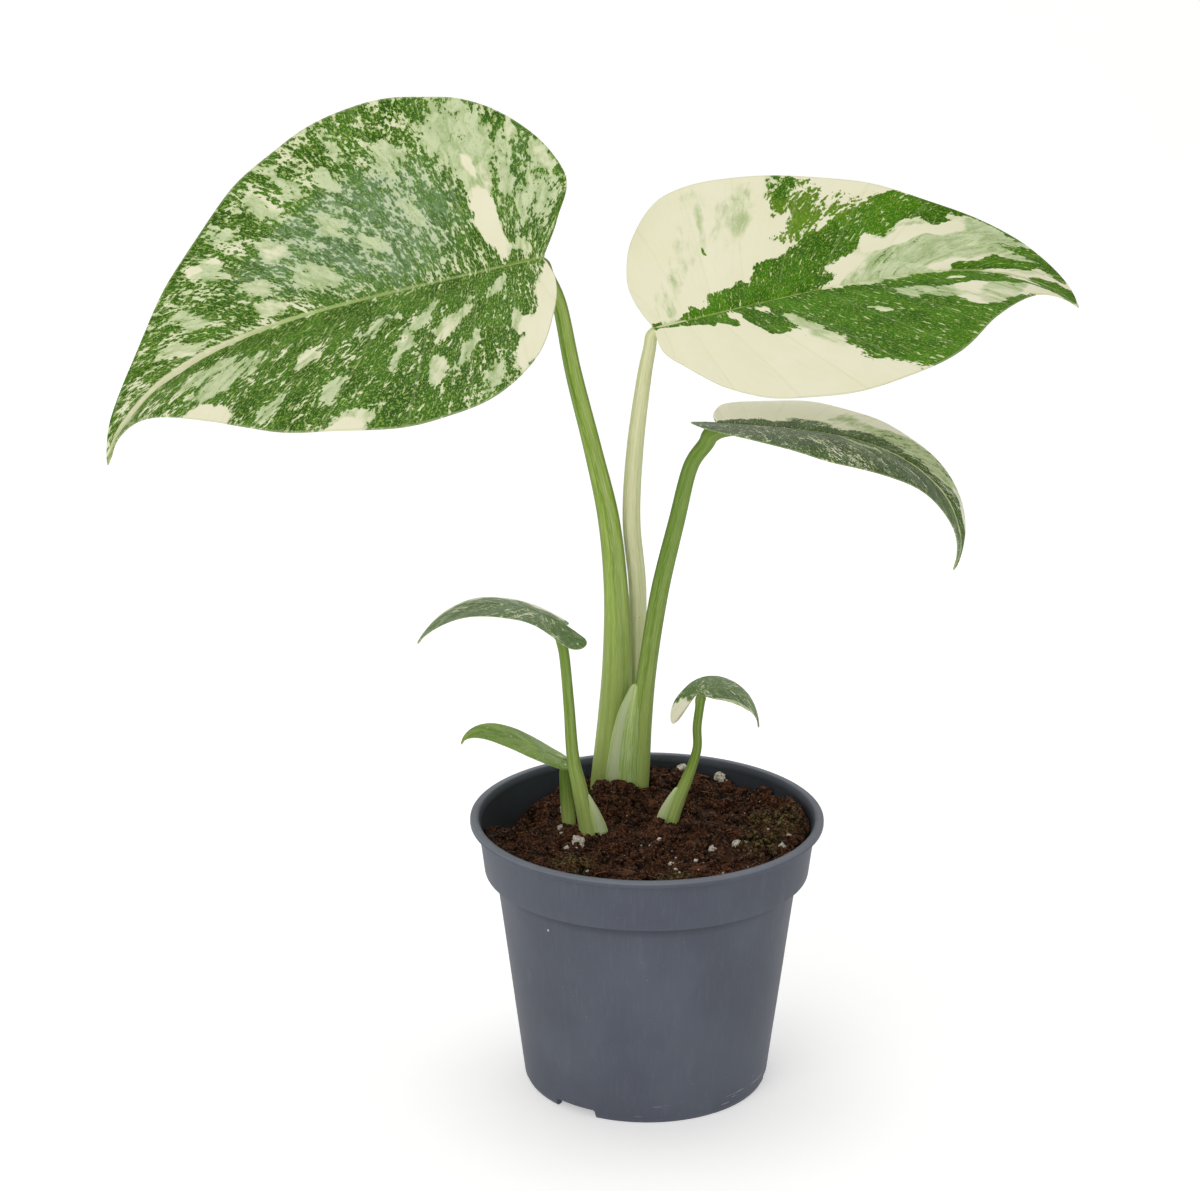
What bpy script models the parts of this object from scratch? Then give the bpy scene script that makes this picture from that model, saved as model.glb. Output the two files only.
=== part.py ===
"""Young variegated monstera in a 12 cm nursery pot.

The pot, the root ball, three stem bases, six leaf stalks and six leaf blades are separate closed solids.
Metres, +Z up. The origin is on the pot's axis, at the surface that the pot stands on; -Y is the front.
"""

import math

import bmesh
import bpy
from mathutils import Matrix, Vector, noise

# ---- pot ----
POT_HEIGHT = 0.0950
RIM_RADIUS = 0.0600
LIP_WIDTH = 0.0026
LIP_THICKNESS = 0.0019
LIP_ROUNDING = 0.0004
WALL = 0.0011
COLLAR_TOP_RADIUS = 0.0573
COLLAR_FOOT_RADIUS = 0.0553
COLLAR_FOOT = 0.0755
# The wall steps in under the collar, round one corner at the collar's foot and one at the body's top
COLLAR_CORNER_WIDTH = 0.0007
COLLAR_CORNER_DROP = 0.0040
BODY_TOP_RADIUS = 0.0504
BODY_TOP = 0.0665
BODY_CORNER_WIDTH = 0.0014
BODY_CORNER_RISE = 0.0020
BODY_CORNER_DROP = 0.0010
INNER_STEP_LIFT = 0.0005
FOOT_RADIUS = 0.0420
FOOT_ROUNDING = 0.0008
FLOOR_UNDERSIDE = 0.0030
FLOOR_TOP = 0.0042
FOOT_RING_WIDTH = 0.0028
CENTRE_PAD_RADIUS = 0.0090
UNDERSIDE_DRAFT = 0.0004
POT_STEPS = 60

NOTCH_WIDTH = 0.0160
NOTCH_HEIGHT = 0.0030
NOTCH_DEPTH = 0.0110
NOTCH_ANGLES = (-125.7, -5.7, 114.3)
DRAIN_HOLES = 6
DRAIN_HOLE_RADIUS = 0.0035
DRAIN_HOLE_STEPS = 12
DRAIN_CIRCLE_RADIUS = 0.0240
FIRST_DRAIN_ANGLE = 30
DRAIN_CUT = 0.0060

# ---- soil ----
GAP = 0.0003
WALL_GAP = 0.00042
SOIL_EDGE_GAP = 0.00066
SOIL_LEVEL = 0.0868
SOIL_STEPS = 48
SOIL_RINGS = 9
SOIL_ROUGHNESS = 0.0010
SOIL_LUMPS_PER_METRE = 130
# Mounds and hollows of the soil: centre x, y, height, spread
SOIL_SWELLS = (
    (-0.006, 0.026, 0.0034, 0.015),
    (0.028, -0.006, 0.0014, 0.022),
    (-0.043, 0.022, -0.0085, 0.015),
    (-0.005, 0.055, 0.0050, 0.024),
    (0.022, 0.050, 0.0030, 0.014),
    (-0.036, -0.030, 0.0012, 0.016),
    (0.053, 0.010, 0.0042, 0.020),
    (0.049, 0.012, 0.0024, 0.008),
)
# Large white perlite grains on the soil: centre x, y, radius
PERLITE_GRAINS = (
    (-0.0230, -0.0040, 0.0021),
    (0.0115, 0.0500, 0.0018),
    (0.0265, 0.0460, 0.0019),
    (-0.0275, 0.0262, 0.0017),
)
PERLITE_RISE_SHARE = 0.35
PERLITE_LUMPINESS = 0.22
PERLITE_GAP = 0.00045

# ---- leaves ----
BLADE_THICKNESS = 0.0008
STALK_END_AHEAD = 0.0015
STALK_CLEARANCE = 0.0005
SEAT = 0.0005
STRAIGHT_FOOT = 0.0020
STALK_LEAD_IN = 0.0010
ELBOW_SHARE = 0.70
THINNEST_STALK = 0.0004
SHEATH_FLATNESS = 0.5
MIDRIB_STEPS = 60
# The rows of a blade leave the midrib closer together near the stalk, and sweep on towards the margin
ROOT_CROWDING = 2.9
VEIN_SWEEP = 1.15
MERGE = 0.00001

# Half of a leaf's outline, from the stalk round the lobe to the tip: share of the length, of the half width
PLAIN_HALF = (
    (0.00, 0.00), (-0.05, 0.16), (-0.07, 0.44), (-0.03, 0.74), (0.11, 0.95),
    (0.32, 1.00), (0.54, 0.83), (0.74, 0.52), (0.90, 0.19), (1.00, 0.00),
)
SHORT_LOBE_HALF = (
    (0.00, 0.00), (-0.02, 0.20), (-0.01, 0.43), (0.03, 0.73), (0.13, 0.97),
    (0.29, 1.01), (0.54, 0.81), (0.70, 0.51), (0.88, 0.12), (1.00, 0.00),
)
WIDE_LOBE_HALF = (
    (0.00, 0.00), (-0.04, 0.18), (-0.07, 0.41), (0.00, 0.73), (0.13, 0.95),
    (0.33, 1.03), (0.52, 0.84), (0.68, 0.50), (0.84, 0.18), (1.00, 0.00),
)
BROAD_TIP_HALF = (
    (0.00, 0.00), (-0.02, 0.22), (-0.02, 0.43), (0.02, 0.73), (0.12, 0.99),
    (0.28, 1.01), (0.52, 0.80), (0.71, 0.50), (0.92, 0.20), (1.00, 0.00),
)
CUT_BACK_HALF = (
    (0.00, 0.00), (0.00, 0.24), (0.03, 0.43), (0.09, 0.72), (0.18, 0.93),
    (0.36, 1.03), (0.57, 0.88), (0.72, 0.51), (0.87, 0.15), (1.00, 0.00),
)
BACK_LOBE_HALF = (
    (0.00, 0.00), (-0.13, 0.08), (-0.19, 0.34), (-0.13, 0.74), (0.08, 0.95),
    (0.32, 1.00), (0.54, 0.83), (0.74, 0.52), (0.90, 0.19), (1.00, 0.00),
)
HANGING_LOBE_HALF = (
    (0.00, 0.00), (-0.12, 0.26), (-0.30, 0.52), (-0.20, 0.84), (0.08, 0.98),
    (0.32, 1.00), (0.55, 0.84), (0.74, 0.52), (0.89, 0.18), (1.00, 0.00),
)
FULL_BACK_HALF = (
    (0.00, 0.00), (-0.01, 0.24), (0.00, 0.52), (0.03, 0.80), (0.12, 1.03),
    (0.28, 1.10), (0.45, 0.86), (0.65, 0.48), (0.86, 0.18), (1.00, 0.00),
)
THIN_LOBE_HALF = (
    (0.00, 0.00), (-0.05, 0.16), (-0.08, 0.38), (-0.02, 0.72), (0.12, 0.96),
    (0.32, 1.10), (0.52, 0.88), (0.69, 0.51), (0.85, 0.26), (1.00, 0.00),
)

# Each leaf. The blade starts at "start", and its midrib heads along "heading" (0 is +X, 90 is +Y) at "rise"
# degrees. Towards the tip the heading changes by "swing" and the rise falls by "droop", late if "power" is
# high. "roll" lifts the right half, as seen along the midrib from the stalk, and "twist" adds to it towards the
# tip; "fold" lifts each half, left and right, and "curl" bends it on towards its margin. "sags" lower a stretch
# of the margin: half (0 left, 1 right), share of the way round, spread, drop. The stalk runs from the soil
# through "route", and its "radii" are those at the route's points and at the three that lead in under the blade.
LEAVES = {
    "large_left": {
        "start": (-0.0342, 0.0080, 0.2854),
        "length": 0.171, "widths": (0.0620, 0.0644),
        "heading": 176, "swing": -2, "rise": -14, "droop": 60, "power": 3.7,
        "roll": 47, "twist": -2, "fold": (15, 15), "curl": (0, 0),
        "halves": (SHORT_LOBE_HALF, WIDE_LOBE_HALF),
        "sags": (),
        "rows": 17, "columns": 4,
        "route": (
            (-0.0136, 0.0416, 0.0880), (-0.0110, 0.0374, 0.1165), (-0.0099, 0.0339, 0.1383),
            (-0.0104, 0.0293, 0.1655), (-0.0129, 0.0249, 0.1918), (-0.0182, 0.0204, 0.2174),
            (-0.0246, 0.0155, 0.2450), (-0.0289, 0.0125, 0.2678),
        ),
        "radii": (
            0.0057, 0.0055, 0.0050, 0.0041, 0.0036, 0.0030, 0.0027, 0.0024, 0.0021, 0.0018, 0.0014,
        ),
        "sheath": None,
        "base": "main_stem_base",
    },
    "large_right": {
        "start": (0.0016, 0.0139, 0.2605),
        "length": 0.154, "widths": (0.0524, 0.0524),
        "heading": 10, "swing": 8, "rise": 11, "droop": 52, "power": 3.5,
        "roll": -32, "twist": -1, "fold": (8, 8), "curl": (0, 0),
        "halves": (BROAD_TIP_HALF, CUT_BACK_HALF),
        "sags": (),
        "rows": 17, "columns": 4,
        "route": (
            (-0.0038, 0.0466, 0.0880), (-0.0040, 0.0458, 0.1053), (-0.0031, 0.0412, 0.1312),
            (-0.0030, 0.0340, 0.1642), (-0.0052, 0.0282, 0.1908), (-0.0042, 0.0231, 0.2167),
            (-0.0014, 0.0185, 0.2420),
        ),
        "radii": (0.0026, 0.0027, 0.0029, 0.0030, 0.0030, 0.0028, 0.0024, 0.0020, 0.0017, 0.0013),
        "sheath": None,
        "base": "main_stem_base",
    },
    "lower_right": {
        "start": (0.0224, 0.0060, 0.2303),
        "length": 0.1085, "widths": (0.0350, 0.0350),
        "heading": -1, "swing": -7, "rise": -3, "droop": 109, "power": 2.6,
        "roll": 4, "twist": -24, "fold": (7, 9), "curl": (-9, -16),
        "halves": (FULL_BACK_HALF, THIN_LOBE_HALF),
        "sags": ((1, 0.15, 0.15, -0.0085),),
        "rows": 16, "columns": 3,
        "route": (
            (-0.0033, 0.0360, 0.0880), (-0.0026, 0.0343, 0.0967), (-0.0014, 0.0300, 0.1192),
            (0.0007, 0.0257, 0.1412), (0.0044, 0.0202, 0.1684), (0.0098, 0.0148, 0.1947),
            (0.0140, 0.0110, 0.2140),
        ),
        "radii": (0.0042, 0.0040, 0.0036, 0.0031, 0.0030, 0.0027, 0.0025, 0.0023, 0.0020, 0.0015),
        "sheath": (
            (-0.0080, 0.0330, 0.0900), (-0.0074, 0.0303, 0.1050),
            (-0.0060, 0.0276, 0.1200), (-0.0036, 0.0258, 0.1330),
        ),
        "sheath_radii": (0.0062, 0.0054, 0.0040, 0.0012),
        "base": "main_stem_base",
    },
    "small_left": {
        "start": (-0.0283, -0.0140, 0.1680),
        "length": 0.0534, "widths": (0.0171, 0.0171),
        "heading": 188, "swing": 5, "rise": 29, "droop": 86, "power": 1.5,
        "roll": -2, "twist": -8, "fold": (0, -1), "curl": (-4, -10),
        "halves": (BACK_LOBE_HALF, PLAIN_HALF),
        "sags": ((0, 0.225, 0.035, 0.0025), (0, 0.330, 0.080, -0.0022)),
        "rows": 13, "columns": 3,
        "route": (
            (-0.0196, 0.0028, 0.0860), (-0.0227, -0.0009, 0.1041), (-0.0250, -0.0036, 0.1174),
            (-0.0262, -0.0077, 0.1368), (-0.0275, -0.0112, 0.1542),
        ),
        "radii": (0.0031, 0.0026, 0.0021, 0.0018, 0.0017, 0.0017, 0.0015, 0.0010),
        "sheath": ((-0.0165, 0.0020, 0.0870), (-0.0182, 0.0000, 0.0950), (-0.0205, -0.0012, 0.1030)),
        "sheath_radii": (0.0034, 0.0024, 0.0008),
        "base": "left_stem_base",
    },
    "small_low_left": {
        "start": (-0.0289, 0.0090, 0.1115),
        "length": 0.0386, "widths": (0.0125, 0.0125),
        "heading": 183, "swing": -2, "rise": 27, "droop": 104, "power": 4.5,
        "roll": -6, "twist": 15, "fold": (-2, 3), "curl": (-6, -7),
        "halves": (PLAIN_HALF, PLAIN_HALF),
        "sags": (),
        "rows": 12, "columns": 3,
        "route": ((-0.0266, 0.0145, 0.0860), (-0.0274, 0.0130, 0.0960)),
        "radii": (0.0024, 0.0022, 0.0018, 0.0014, 0.0009),
        "sheath": None,
        "base": "left_stem_base",
    },
    "small_right": {
        "start": (0.0166, 0.0040, 0.1371),
        "length": 0.0307, "widths": (0.0117, 0.0106),
        "heading": 13, "swing": -8, "rise": 36, "droop": 122, "power": 0.8,
        "roll": -3, "twist": -18, "fold": (-2, -2), "curl": (-5, -1),
        "halves": (HANGING_LOBE_HALF, CUT_BACK_HALF),
        "sags": ((0, 0.18, 0.12, 0.0105), (1, 0.15, 0.15, -0.0030)),
        "rows": 12, "columns": 3,
        "route": (
            (0.0084, 0.0127, 0.0870), (0.0112, 0.0114, 0.0964), (0.0137, 0.0102, 0.1035),
            (0.0158, 0.0090, 0.1101), (0.0172, 0.0079, 0.1167), (0.0170, 0.0067, 0.1240),
        ),
        "radii": (0.0027, 0.0023, 0.0020, 0.0017, 0.0015, 0.0015, 0.0014, 0.0012, 0.0009),
        "sheath": ((0.0062, 0.0115, 0.0880), (0.0080, 0.0104, 0.0945), (0.0106, 0.0098, 0.1010)),
        "sheath_radii": (0.0027, 0.0020, 0.0007),
        "base": "right_stem_base",
    },
}

# Short buried stems that the stalks grow from: top centre x, y, z, radius, depth
STEM_BASES = {
    "main_stem_base": ((-0.0075, 0.0395, 0.0812), 0.0110, 0.0200),
    "left_stem_base": ((-0.0222, 0.0090, 0.0797), 0.0092, 0.0150),
    "right_stem_base": ((0.0070, 0.0128, 0.0797), 0.0048, 0.0150),
}
STEM_FOOT_SHARE = 0.62

COLOURS = {
    "pot": ((0.105, 0.118, 0.145, 1.0), 0.45),
    "soil": ((0.060, 0.030, 0.018, 1.0), 0.95),
    "perlite": ((0.78, 0.75, 0.68, 1.0), 0.90),
    "stem": ((0.45, 0.40, 0.22, 1.0), 0.70),
    "stalk": ((0.27, 0.42, 0.11, 1.0), 0.45),
    "cream_stalk": ((0.72, 0.70, 0.45, 1.0), 0.45),
    "blade": ((0.10, 0.24, 0.05, 1.0), 0.38),
    "cream_blade": ((0.55, 0.60, 0.38, 1.0), 0.38),
}


def clear_scene():
    """Take out whatever the open file holds."""
    for thing in list(bpy.data.objects):
        bpy.data.objects.remove(thing, do_unlink=True)


def add_collection(name):
    group = bpy.data.collections.new(name)
    bpy.context.scene.collection.children.link(group)
    return group


def material(key):
    """The Principled material of one kind of surface, made once."""
    found = bpy.data.materials.get(key)
    if found:
        return found
    colour, roughness = COLOURS[key]
    made = bpy.data.materials.new(key)
    made.use_nodes = True
    shader = made.node_tree.nodes["Principled BSDF"]
    shader.inputs["Base Color"].default_value = colour
    shader.inputs["Roughness"].default_value = roughness
    shader.inputs["Metallic"].default_value = 0.0
    made.diffuse_color = colour
    return made


def add_object(name, mesh, group, key):
    """A named object of a mesh, with its material."""
    thing = bpy.data.objects.new(name, mesh)
    group.objects.link(thing)
    if key:
        mesh.materials.append(material(key))
    return thing


def mesh_from(build):
    """A new mesh that the given function fills as a bmesh."""
    shape = bmesh.new()
    build(shape)
    mesh = bpy.data.meshes.new("shape")
    shape.to_mesh(mesh)
    shape.free()
    return mesh


def as_cutter(thing):
    thing.hide_render = True
    thing.display_type = "WIRE"


def boolean(target, tool, operation):
    """Cut a tool out of the target, or join it on, as a live modifier."""
    modifier = target.modifiers.new(operation.lower() + "_" + tool.name, "BOOLEAN")
    modifier.operation = operation
    modifier.solver = "EXACT"
    modifier.object = tool


def baked(thing):
    """The object again with its modifiers made real."""
    bpy.context.view_layer.update()
    depsgraph = bpy.context.evaluated_depsgraph_get()
    mesh = bpy.data.meshes.new_from_object(thing.evaluated_get(depsgraph))
    thing.modifiers.clear()
    thing.data = mesh
    return thing


def turned(name, profile, steps, group, key):
    """A solid of revolution: the profile runs out from the axis, over the top and down the outer side."""

    def build(shape):
        corners = [shape.verts.new((r, 0.0, z)) for r, z in profile]
        for first, second in zip(corners, corners[1:]):
            shape.edges.new((first, second))

    thing = add_object(name, mesh_from(build), group, key)
    screw = thing.modifiers.new("turn", "SCREW")
    screw.steps = steps
    screw.render_steps = steps
    screw.use_merge_vertices = True
    screw.merge_threshold = MERGE
    screw.use_smooth_shade = True
    return thing


def smooth_path(knots, spans_each=2):
    """Points on a Catmull-Rom curve through the knots."""
    points = [Vector(knot) for knot in knots]
    points = [2 * points[0] - points[1]] + points + [2 * points[-1] - points[-2]]
    path = []
    for a, b, c, d in zip(points, points[1:], points[2:], points[3:]):
        for step in range(spans_each):
            t = step / spans_each
            bend = (2 * a - 5 * b + 4 * c - d) * t**2 + (3 * b - a - 3 * c + d) * t**3
            path.append(0.5 * (2 * b + (c - a) * t + bend))
    path.append(points[-2])
    return path


def tube(name, knots, radii, group, key):
    """A closed tube along a smooth path, its thickness changing from knot to knot."""
    path = smooth_path(knots)
    thickness = smooth_path([(radius, 0.0, 0.0) for radius in radii])
    curve = bpy.data.curves.new(name, "CURVE")
    curve.dimensions = "3D"
    curve.bevel_depth = 1.0
    curve.bevel_resolution = 2
    curve.use_fill_caps = True
    curve.twist_mode = "MINIMUM"
    spline = curve.splines.new("POLY")
    spline.points.add(len(path) - 1)
    for point, place, radius in zip(spline.points, path, thickness):
        point.co = (*place, 1.0)
        point.radius = max(radius.x, THINNEST_STALK)
    guide = bpy.data.objects.new(name + "_guide", curve)
    group.objects.link(guide)
    bpy.context.view_layer.update()
    depsgraph = bpy.context.evaluated_depsgraph_get()
    mesh = bpy.data.meshes.new_from_object(guide.evaluated_get(depsgraph))
    place = guide.matrix_world.copy()
    bpy.data.objects.remove(guide, do_unlink=True)
    shape = bmesh.new()
    shape.from_mesh(mesh)
    bmesh.ops.remove_doubles(shape, verts=shape.verts, dist=MERGE)
    bmesh.ops.recalc_face_normals(shape, faces=shape.faces)
    shape.to_mesh(mesh)
    shape.free()
    mesh.materials.clear()
    thing = add_object(name, mesh, group, key)
    thing.matrix_world = place
    return thing


# ---- pot ----


def step_under_collar(inset, lift):
    """Radius and height down the step from the collar to the body, so far in and so far up."""
    return [
        (COLLAR_FOOT_RADIUS - inset, COLLAR_FOOT),
        (COLLAR_FOOT_RADIUS - COLLAR_CORNER_WIDTH - inset, COLLAR_FOOT - COLLAR_CORNER_DROP + lift),
        (BODY_TOP_RADIUS + BODY_CORNER_WIDTH - inset, BODY_TOP + BODY_CORNER_RISE + lift),
        (BODY_TOP_RADIUS - inset, BODY_TOP - BODY_CORNER_DROP + lift),
    ]


def pot_inner_wall():
    """Radius and height down the pot's inside, from just under the lip to the floor."""
    under_lip = [(COLLAR_TOP_RADIUS - WALL, POT_HEIGHT - LIP_THICKNESS)]
    return under_lip + step_under_collar(WALL, INNER_STEP_LIFT) + [(FOOT_RADIUS - WALL, FLOOR_TOP)]


def pot_profile():
    """The pot's half section: up the inside, over the lip, down the outside, and in under the floor."""
    lip = POT_HEIGHT - LIP_THICKNESS
    inside = [(0.0, FLOOR_TOP)] + list(reversed(pot_inner_wall()))
    over_lip = [
        (RIM_RADIUS - LIP_WIDTH, POT_HEIGHT - LIP_ROUNDING),
        (RIM_RADIUS - LIP_WIDTH + LIP_ROUNDING, POT_HEIGHT),
        (RIM_RADIUS - LIP_ROUNDING, POT_HEIGHT),
        (RIM_RADIUS, POT_HEIGHT - LIP_ROUNDING),
        (RIM_RADIUS, lip + LIP_ROUNDING),
        (RIM_RADIUS - LIP_ROUNDING, lip),
        (COLLAR_TOP_RADIUS, lip),
    ]
    foot = [
        (FOOT_RADIUS, 3 * FOOT_ROUNDING),
        (FOOT_RADIUS - FOOT_ROUNDING / 4, FOOT_ROUNDING),
        (FOOT_RADIUS - FOOT_ROUNDING, 0.0),
        (FOOT_RADIUS - FOOT_RING_WIDTH, 0.0),
    ]
    under = [
        (FOOT_RADIUS - FOOT_RING_WIDTH - UNDERSIDE_DRAFT, FLOOR_UNDERSIDE),
        (CENTRE_PAD_RADIUS + UNDERSIDE_DRAFT, FLOOR_UNDERSIDE),
        (CENTRE_PAD_RADIUS, 0.0),
        (0.0, 0.0),
    ]
    return inside + over_lip + step_under_collar(0.0, 0.0) + foot + under


def add_notch_cutters(pot, cutters):
    """Drainage notches across the foot ring."""
    for count, angle in enumerate(NOTCH_ANGLES):
        turn = Matrix.Rotation(math.radians(angle), 4, "Z")
        place = turn @ Matrix.Translation((FOOT_RADIUS, 0.0, 0.0))
        size = Matrix.Diagonal((NOTCH_DEPTH, NOTCH_WIDTH, 2 * NOTCH_HEIGHT, 1.0))

        def build(shape, matrix=place @ size):
            bmesh.ops.create_cube(shape, size=1.0, matrix=matrix)

        cutter = add_object(f"notch_cutter_{count + 1}", mesh_from(build), cutters, None)
        as_cutter(cutter)
        boolean(pot, cutter, "DIFFERENCE")


def add_drain_cutters(pot, cutters):
    """Round drain holes through the floor."""
    for count in range(DRAIN_HOLES):
        angle = math.radians(FIRST_DRAIN_ANGLE + 360 / DRAIN_HOLES * count)
        place = (DRAIN_CIRCLE_RADIUS * math.cos(angle), DRAIN_CIRCLE_RADIUS * math.sin(angle), FLOOR_TOP)

        def build(shape, matrix=Matrix.Translation(place)):
            bmesh.ops.create_cone(
                shape,
                cap_ends=True,
                segments=DRAIN_HOLE_STEPS,
                radius1=DRAIN_HOLE_RADIUS,
                radius2=DRAIN_HOLE_RADIUS,
                depth=DRAIN_CUT,
                matrix=matrix,
            )

        cutter = add_object(f"drain_cutter_{count + 1}", mesh_from(build), cutters, None)
        as_cutter(cutter)
        boolean(pot, cutter, "DIFFERENCE")


def add_pot(parts, cutters):
    pot = turned("pot", pot_profile(), POT_STEPS, parts, "pot")
    add_notch_cutters(pot, cutters)
    add_drain_cutters(pot, cutters)
    return pot


# ---- soil ----


def soil_height(x, y):
    """Height of the soil's surface above the point x, y."""
    height = SOIL_LEVEL
    for centre_x, centre_y, rise, spread in SOIL_SWELLS:
        away = math.hypot(x - centre_x, y - centre_y) / spread
        height += rise * math.exp(-away * away)
    return height + SOIL_ROUGHNESS * noise.noise(Vector((x, y, 0.0)) * SOIL_LUMPS_PER_METRE)


def soil_profile():
    """The root ball's half section: rings across the top, then down the pot's wall to the floor."""
    wall = pot_inner_wall()
    top_share = (SOIL_LEVEL - wall[1][1]) / (wall[0][1] - wall[1][1])
    edge = wall[1][0] + (wall[0][0] - wall[1][0]) * top_share - SOIL_EDGE_GAP
    top = [(edge * ring / SOIL_RINGS, SOIL_LEVEL) for ring in range(SOIL_RINGS + 1)]
    side = [(radius - WALL_GAP, height) for radius, height in wall[1:-1]]
    foot = FLOOR_TOP + GAP
    return top + side + [(wall[-1][0] - WALL_GAP, foot), (0.0, foot)]


def add_root_ball(parts):
    """Peat and roots as one lump, with an uneven top."""
    ball = baked(turned("root_ball", soil_profile(), SOIL_STEPS, parts, "soil"))
    wall = pot_inner_wall()
    taper = (wall[0][0] - wall[1][0]) / (wall[0][1] - wall[1][1])
    for corner in ball.data.vertices:
        if corner.co.z > SOIL_LEVEL - GAP:
            height = soil_height(corner.co.x, corner.co.y)
            shrink = 1.0 + taper * (height - SOIL_LEVEL) / RIM_RADIUS
            corner.co = (corner.co.x * shrink, corner.co.y * shrink, height)
    return ball


def hollow_for(ball, maker, name, cutters):
    """Room in the root ball round a buried piece."""
    cutter = maker(name, cutters)
    as_cutter(cutter)
    boolean(ball, cutter, "DIFFERENCE")


def add_perlite(ball, parts, cutters):
    """White grains, each seated in a dimple of the soil."""
    for count, (x, y, radius) in enumerate(PERLITE_GRAINS):
        centre = Vector((x, y, soil_height(x, y) + PERLITE_RISE_SHARE * radius))

        def grain(name, group, key, size, where=centre, seed=count):
            def build(shape):
                bmesh.ops.create_icosphere(shape, subdivisions=2, radius=size)
                for corner in shape.verts:
                    bump = noise.noise(corner.co / size + Vector((7.0 * seed, 0.0, 0.0)))
                    corner.co = corner.co * (1.0 + PERLITE_LUMPINESS * bump) + where

            return add_object(name, mesh_from(build), group, key)

        grain(f"perlite_grain_{count + 1}", parts, "perlite", radius)
        hollow_for(ball, lambda name, group, size=radius + PERLITE_GAP: grain(name, group, None, size),
                   f"grain_cutter_{count + 1}", cutters)


# ---- stems and stalks ----


def stem_base(name, group, key, spare=0.0):
    """A short buried stem, narrower below, with its top flat under the stalks."""
    (x, y, top), radius, depth = STEM_BASES[name.replace("_cutter", "")]

    def build(shape):
        bmesh.ops.create_cone(
            shape,
            cap_ends=True,
            segments=20,
            radius1=radius * STEM_FOOT_SHARE + spare,
            radius2=radius + spare,
            depth=depth + 2 * spare,
            matrix=Matrix.Translation((x, y, top - depth / 2)),
        )

    return add_object(name, mesh_from(build), group, key)


def under_blade(leaf, ahead, radius):
    """A point under the midrib that leaves the stalk clear of the blade."""
    point, forward, right, up = midrib(leaf)[0]
    lift = BLADE_THICKNESS / 2 + STALK_CLEARANCE + radius
    return point + forward * ahead - up * lift


def stalk(name, leaf, group, key, spare=0.0):
    """A leaf stalk from its stem base to the blade, with the sheath that clasps its foot."""
    last = leaf["radii"][-1]
    knots = buried(leaf["route"], leaf["base"], spare)
    elbow = under_blade(leaf, -STALK_LEAD_IN - last, leaf["radii"][-2])
    knots.append(knots[-1].lerp(elbow, ELBOW_SHARE))
    knots.append(elbow)
    knots.append(under_blade(leaf, STALK_END_AHEAD, last))
    radii = buried_radii(leaf["radii"], spare)
    made = tube(name, knots, radii, group, key)
    if leaf["sheath"]:
        sheath_radii = buried_radii(leaf["sheath_radii"], spare / SHEATH_FLATNESS)
        made = join_sheath(made, buried(leaf["sheath"], leaf["base"], spare), sheath_radii, group)
    return made


def buried(route, base, spare):
    """The route again, with two points more that lead straight up from the stem base that it stands on."""
    foot = Vector(route[0])
    foot.z = STEM_BASES[base][0][2] + SEAT - spare
    return [foot, foot + Vector((0.0, 0.0, STRAIGHT_FOOT))] + [Vector(point) for point in route]


def buried_radii(radii, spare):
    """The radii again, with the two buried points, each widened by what is to spare."""
    return [radius + spare for radius in (radii[0], radii[0]) + tuple(radii)]


def join_sheath(made, knots, radii, group):
    """Flatten a tapering tube front to back and make it one with the stalk."""
    sheath = tube(made.name + "_sheath", knots, radii, group, None)
    path = smooth_path(knots, 6)
    for corner in sheath.data.vertices:
        nearest = min(path, key=lambda point: abs(point.z - corner.co.z))
        corner.co.y = nearest.y + (corner.co.y - nearest.y) * SHEATH_FLATNESS
    boolean(made, sheath, "UNION")
    baked(made)
    bpy.data.objects.remove(sheath, do_unlink=True)
    return made


# ---- blades ----


def midrib(leaf):
    """Point, forward, right and up along the midrib, from the stalk to the tip."""
    frames = []
    point = Vector(leaf["start"])
    before = None
    for step in range(MIDRIB_STEPS + 1):
        share = step / MIDRIB_STEPS
        heading = math.radians(leaf["heading"] + leaf["swing"] * share)
        rise = math.radians(leaf["rise"] - leaf["droop"] * share ** leaf["power"])
        forward = Vector(
            (math.cos(rise) * math.cos(heading), math.cos(rise) * math.sin(heading), math.sin(rise))
        )
        if before:
            point = point + (before + forward) * (leaf["length"] / MIDRIB_STEPS / 2)
        before = forward
        level_right = Vector((math.sin(heading), -math.cos(heading), 0.0))
        level_up = level_right.cross(forward)
        roll = math.radians(leaf["roll"] + leaf["twist"] * share**2)
        right = level_right * math.cos(roll) + level_up * math.sin(roll)
        up = level_up * math.cos(roll) - level_right * math.sin(roll)
        frames.append((point.copy(), forward, right, up))
    return frames


def frame_at(frames, share):
    """The midrib's frame at a share of its length, run straight back behind the stalk."""
    place = min(max(share, 0.0), 1.0) * MIDRIB_STEPS
    step = min(int(place), MIDRIB_STEPS - 1)
    blend = place - step
    return [a.lerp(b, blend) for a, b in zip(frames[step], frames[step + 1])]


def sag(leaf, half, across, share):
    """How far the blade hangs down at a share of its half width and of the way round its outline."""
    drop = 0.0
    for sagging, centre, spread, depth in leaf["sags"]:
        if sagging == half:
            drop += depth * across**2 * math.exp(-(((share - centre) / spread) ** 2))
    return drop


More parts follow.
